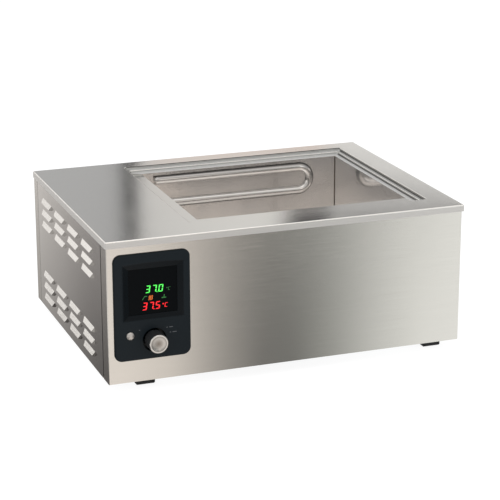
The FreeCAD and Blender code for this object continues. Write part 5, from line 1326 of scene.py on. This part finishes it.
@dataclass
class Inside(Assembly):
    """Everything behind the panels: heater, mats, boards and leads."""

    def dress(self) -> None:
        """Finish the inner pieces."""
        shop = self.bench.shop
        shop.coat_nodes(["insulation_rear", "insulation_front", "insulation_right", "insulation_left",
                         "insulation_floor"], Finish.FIBRE)
        shop.coat_nodes(["rear_heater", "temperature_sensor", "limiter_probe", "sensor_pockets"],
                        Finish.SHEATH)
        shop.coat_nodes(["control_board", "mains_board"], Finish.LAMINATE)
        shop.coat_nodes(["board_standoffs", "terminal_block"], Finish.NYLON)
        shop.coat_nodes(["main_switch", "tactile_switch", "heater_relay", "triac", "safety_thermostat"],
                        Finish.DARK_BLACK)
        shop.coat_nodes(["wall_grommet"], Finish.RUBBER)
        shop.coat_nodes(["transformer"], Finish.IRON)
        shop.coat_nodes(["heat_sink"], Finish.ALUMINIUM)
        shop.coat_nodes(["heater_leads"], Finish.SILICONE)
        shop.coat_nodes(["mains_leads", "sensor_lead"], Finish.PALE_LEAD)
        shop.coat_nodes(["ribbon_cable"], Finish.GREY_RIBBON)


@dataclass
class RearFittings(Assembly):
    """Mains inlet and drain tap."""

    def dress(self) -> None:
        """Finish the fittings behind the case."""
        shop = self.bench.shop
        shop.coat_nodes(["mains_inlet", "fuse_drawer"], Finish.DARK_BLACK, 0.3 * MM)
        shop.coat_nodes(["drain_pipe", "drain_nuts", "valve_body", "hose_spigot", "valve_ball"],
                        Finish.NICKEL, 0.3 * MM)
        shop.coat_nodes(["valve_stem", "lever_nut", "drain_lever"], Finish.ZINC, 0.2 * MM)
        shop.coat_nodes(["lever_grip"], Finish.RED_DOT, 0.4 * MM)


# ---------------------------------------------------------------------------
# Studio
# ---------------------------------------------------------------------------
@dataclass(frozen=True)
class Card:
    """A flat card hung behind the bath, as the metal mirrors it."""

    turn: tuple[float, float]
    tilt: tuple[float, float]
    tone: Colour
    soft: float = 0.25

    def cover(self, turn: Value, rise: Value) -> Value:
        """How much of the card lies in a direction.

        Args:
            turn: compass turn to the right, in radians.
            rise: upward part of the direction.

        Returns:
            One on the card and zero beside it.
        """
        soft = math.radians(self.soft)
        low, high = (math.radians(angle) for angle in self.turn)
        foot, head = (math.sin(math.radians(angle)) for angle in self.tilt)
        sides = turn.span(low - soft, low + soft) * turn.span(high + soft, high - soft)
        return sides * rise.span(foot - soft, foot + soft) * rise.span(head + soft, head - soft)


@dataclass
class Studio:
    """Camera, two soft lamps, and a surround and floor that are white to the eye and toned to the metal.

    The front fan and the side fan are where the eye's mirror images in the bath's front and left side
    stand on the floor: the floor's tones, which only mirrored rays see, run out from them.
    """

    eye: Point = (-0.95895, -2.66099, 1.00612)
    turn: float = 20.224
    tilt: float = 17.235
    roll: float = 0.087
    lens: float = 130.85
    cards: tuple[Card, ...] = (
        Card((16.06, 16.54), (2.0, 60.0), (0.02, 0.02, 0.02), 0.14),
        Card((17.0, 22.7), (6.0, 14.5), (0.93, 0.80, 0.73), 0.4),
        Card((21.4, 23.0), (15.4, 24.0), (0.02, 0.02, 0.025), 0.3),
        Card((23.0, 29.0), (15.4, 24.0), (0.40, 0.395, 0.39), 0.3),
    )
    zenith: Colour = (1.02, 0.985, 0.95)
    zenith_rise: tuple[float, float] = (0.45, 0.80)
    ambient: Colour = (0.92, 0.93, 0.95)
    floor_size: float = 6.0
    floor_drop: float = 0.5 * MM
    front_fan: tuple[float, float] = (-0.96, 2.20)
    side_fan: tuple[float, float] = (0.386, -2.661)
    side_edge: float = -0.29
    side_reach: float = 0.22
    # painted shade on the floor that mirrored rays see, close to and far from the bath's left side
    side_painted_shade: tuple[float, float] = (0.58, 0.10)
    paper: Colour = (0.93, 0.93, 0.93)
    paper_seen: Colour = (1.13, 1.13, 1.13)
    glow_shares: tuple[float, float] = (0.8, 0.97)

    def camera(self) -> None:
        """Set the camera up."""
        data = bpy.data.cameras.new("camera")
        data.lens = self.lens
        data.sensor_width = 36.0
        data.clip_end = 50.0
        made = bpy.data.objects.new("camera", data)
        bpy.context.scene.collection.objects.link(made)
        turn, tilt = math.radians(self.turn), math.radians(self.tilt)
        ahead = Vector((math.sin(turn) * math.cos(tilt), math.cos(turn) * math.cos(tilt), -math.sin(tilt)))
        facing = ahead.to_track_quat("-Z", "Y").to_matrix().to_4x4()
        made.matrix_world = (Matrix.Translation(self.eye) @ facing
                             @ Matrix.Rotation(math.radians(-self.roll), 4, "Z"))
        bpy.context.scene.camera = made

    @staticmethod
    def by_turn(turn: Value, stops: Sequence[tuple[float, Colour]]) -> Value:
        """A tone that changes with the compass turn, from stops in degrees."""
        first, last = stops[0][0], stops[-1][0]
        return turn.span(math.radians(first), math.radians(last)).ramp(
            [((angle - first) / (last - first), tone) for angle, tone in stops])

    @staticmethod
    def front_tone(turn: Value) -> Value:
        """Tone of the studio before the bath, by its compass turn to the right."""
        return Studio.by_turn(turn, (
            (-20, (0.58, 0.57, 0.56)), (8, (0.72, 0.70, 0.67)), (13.5, (1.24, 1.17, 1.10)),
            (16.0, (1.19, 1.11, 1.04)), (17.6, (1.01, 0.945, 0.885)), (19.25, (0.52, 0.495, 0.465)),
            (20.6, (0.265, 0.260, 0.248)), (21.7, (0.262, 0.262, 0.250)), (23.0, (0.50, 0.51, 0.485)),
            (24.5, (0.885, 0.895, 0.87)), (26.0, (1.19, 1.20, 1.17)), (29.0, (1.35, 1.36, 1.345)),
            (33, (1.15, 1.15, 1.13)), (42, (0.66, 0.66, 0.65)), (60, (0.58, 0.58, 0.58))))

    @staticmethod
    def rear_tone(turn: Value) -> Value:
        """Tone of the studio behind the bath, by its compass turn to the right."""
        return Studio.by_turn(turn, (
            (-50, (0.60, 0.59, 0.58)), (-32, (0.68, 0.67, 0.65)), (-24, (1.38, 1.35, 1.31)),
            (-20.1, (1.40, 1.37, 1.33)), (-17.0, (0.30, 0.28, 0.27)), (-15.1, (0.30, 0.28, 0.27)),
            (-12.8, (1.15, 1.10, 1.05)), (-10.9, (1.30, 1.26, 1.22)), (4.8, (0.80, 0.79, 0.78)),
            (13.2, (0.58, 0.58, 0.58)), (16.0, (0.56, 0.56, 0.56)), (16.8, (0.80, 0.79, 0.77)),
            (19.9, (0.92, 0.91, 0.88)), (30, (1.02, 1.00, 0.98)), (50, (0.60, 0.60, 0.60))))

    def surround(self) -> None:
        """Light the world: white to the eye, toned by compass turn to the metal, even to all else."""
        world = bpy.data.worlds.new("surround")
        bpy.context.scene.world = world
        book = NodeBook(world)
        way = book.value("ShaderNodeTexCoord", output="Generated")
        right, back, rise = book.split(way)
        turn = right.atan2(back)
        tone = self.rear_tone(turn)
        for card in self.cards:
            tone = book.mix(card.cover(turn, rise), tone, card.tone)
        tone = book.mix(back.above(0.0), self.front_tone(right.atan2(0.0 - back)), tone)
        tone = book.mix(rise.span(*self.zenith_rise), tone, self.zenith)
        seen, mirrored = book.rays()
        tone = book.mix(mirrored, self.ambient, tone)
        shade = book.node("ShaderNodeBackground", None, {"Color": book.mix(seen, tone, (1.0, 1.0, 1.0)),
                                                         "Strength": 1.0})
        book.node("ShaderNodeOutputWorld", None, {"Surface": Value(book, shade.outputs[0])})

    def floor(self) -> None:
        """Lay the floor: white paper to the eye, with tones that only mirrored rays see."""
        mesh = bmesh.new()
        bmesh.ops.create_grid(mesh, x_segments=8, y_segments=8, size=self.floor_size)
        data = bpy.data.meshes.new("floor")
        mesh.to_mesh(data)
        mesh.free()
        made = bpy.data.objects.new("floor", data)
        bpy.context.scene.collection.objects.link(made)
        made.location.z = -self.floor_drop
        material = bpy.data.materials.new("floor_paper")
        book = NodeBook(material)
        right, back, _ = book.split(book.value("ShaderNodeNewGeometry", output="Position"))
        front = self.front_tone((right - self.front_fan[0]).atan2(self.front_fan[1] - back))
        side = self.rear_tone((right - self.side_fan[0]).atan2(back - self.side_fan[1]))
        # painted shade: mirrored rays see the floor darker close to the bath's left side
        past = right - self.side_edge
        black = (0.0, 0.0, 0.0)
        near, far = (book.mix(dim, side, black) for dim in self.side_painted_shade)
        side = book.mix(past.span(0.0, -self.side_reach), near, far)
        tone = book.mix(past.span(0.0, 0.01), side, front)
        seen, mirrored = book.rays()
        paper = book.node("ShaderNodeBsdfDiffuse", None, {"Color": self.paper})
        glow = book.node("ShaderNodeEmission", None, {
            "Color": book.mix(seen, tone, self.paper_seen), "Strength": 1.0})
        share = seen * self.glow_shares[0] + mirrored * self.glow_shares[1]
        mixed = book.node("ShaderNodeMixShader", None, {0: share, 1: Value(book, paper.outputs[0]),
                                                        2: Value(book, glow.outputs[0])})
        book.node("ShaderNodeOutputMaterial", None, {"Surface": Value(book, mixed.outputs[0])})
        data.materials.append(material)

    @staticmethod
    def lamp(name: str, place: Point, target: Point, size: tuple[float, float], power: float,
             colour: Colour = (1.0, 1.0, 1.0)) -> None:
        """Hang one soft lamp.

        Args:
            name: the lamp's name.
            place: where it hangs.
            target: the point it faces.
            size: its width and height.
            power: its power in watts.
            colour: its light's colour.
        """
        data = bpy.data.lights.new(name, "AREA")
        data.shape = "RECTANGLE"
        data.size, data.size_y = size
        data.energy = power
        data.color = colour
        made = bpy.data.objects.new(name, data)
        bpy.context.scene.collection.objects.link(made)
        made.location = place
        made.rotation_euler = (Vector(target) - Vector(place)).to_track_quat("-Z", "Y").to_euler()

    def build(self) -> None:
        """Set up the whole studio."""
        bpy.context.scene.view_settings.view_transform = "Standard"
        self.camera()
        self.surround()
        self.floor()
        self.lamp("overhead", (-0.3, -0.2, 2.6), (0.0, 0.0, 0.1), (2.4, 2.0), 10.0)
        self.lamp("left_fill", (-2.4, -0.8, 1.3), (0.0, 0.0, 0.15), (1.4, 1.4), 5.0, (1.0, 0.97, 0.93))


def main() -> None:
    """Build and dress the whole bath and its studio."""
    logging.basicConfig(level=logging.INFO, format="%(message)s")
    bench = Bench(FinishShop())
    for kind in (Deck, SteelCase, TankDetails, RubberFeet, Display, ControlPanel, Inside, RearFittings):
        assembly = kind(bench)
        assembly.dress()
        assembly.build()
    Studio().build()


if __name__ == "__main__":
    main()
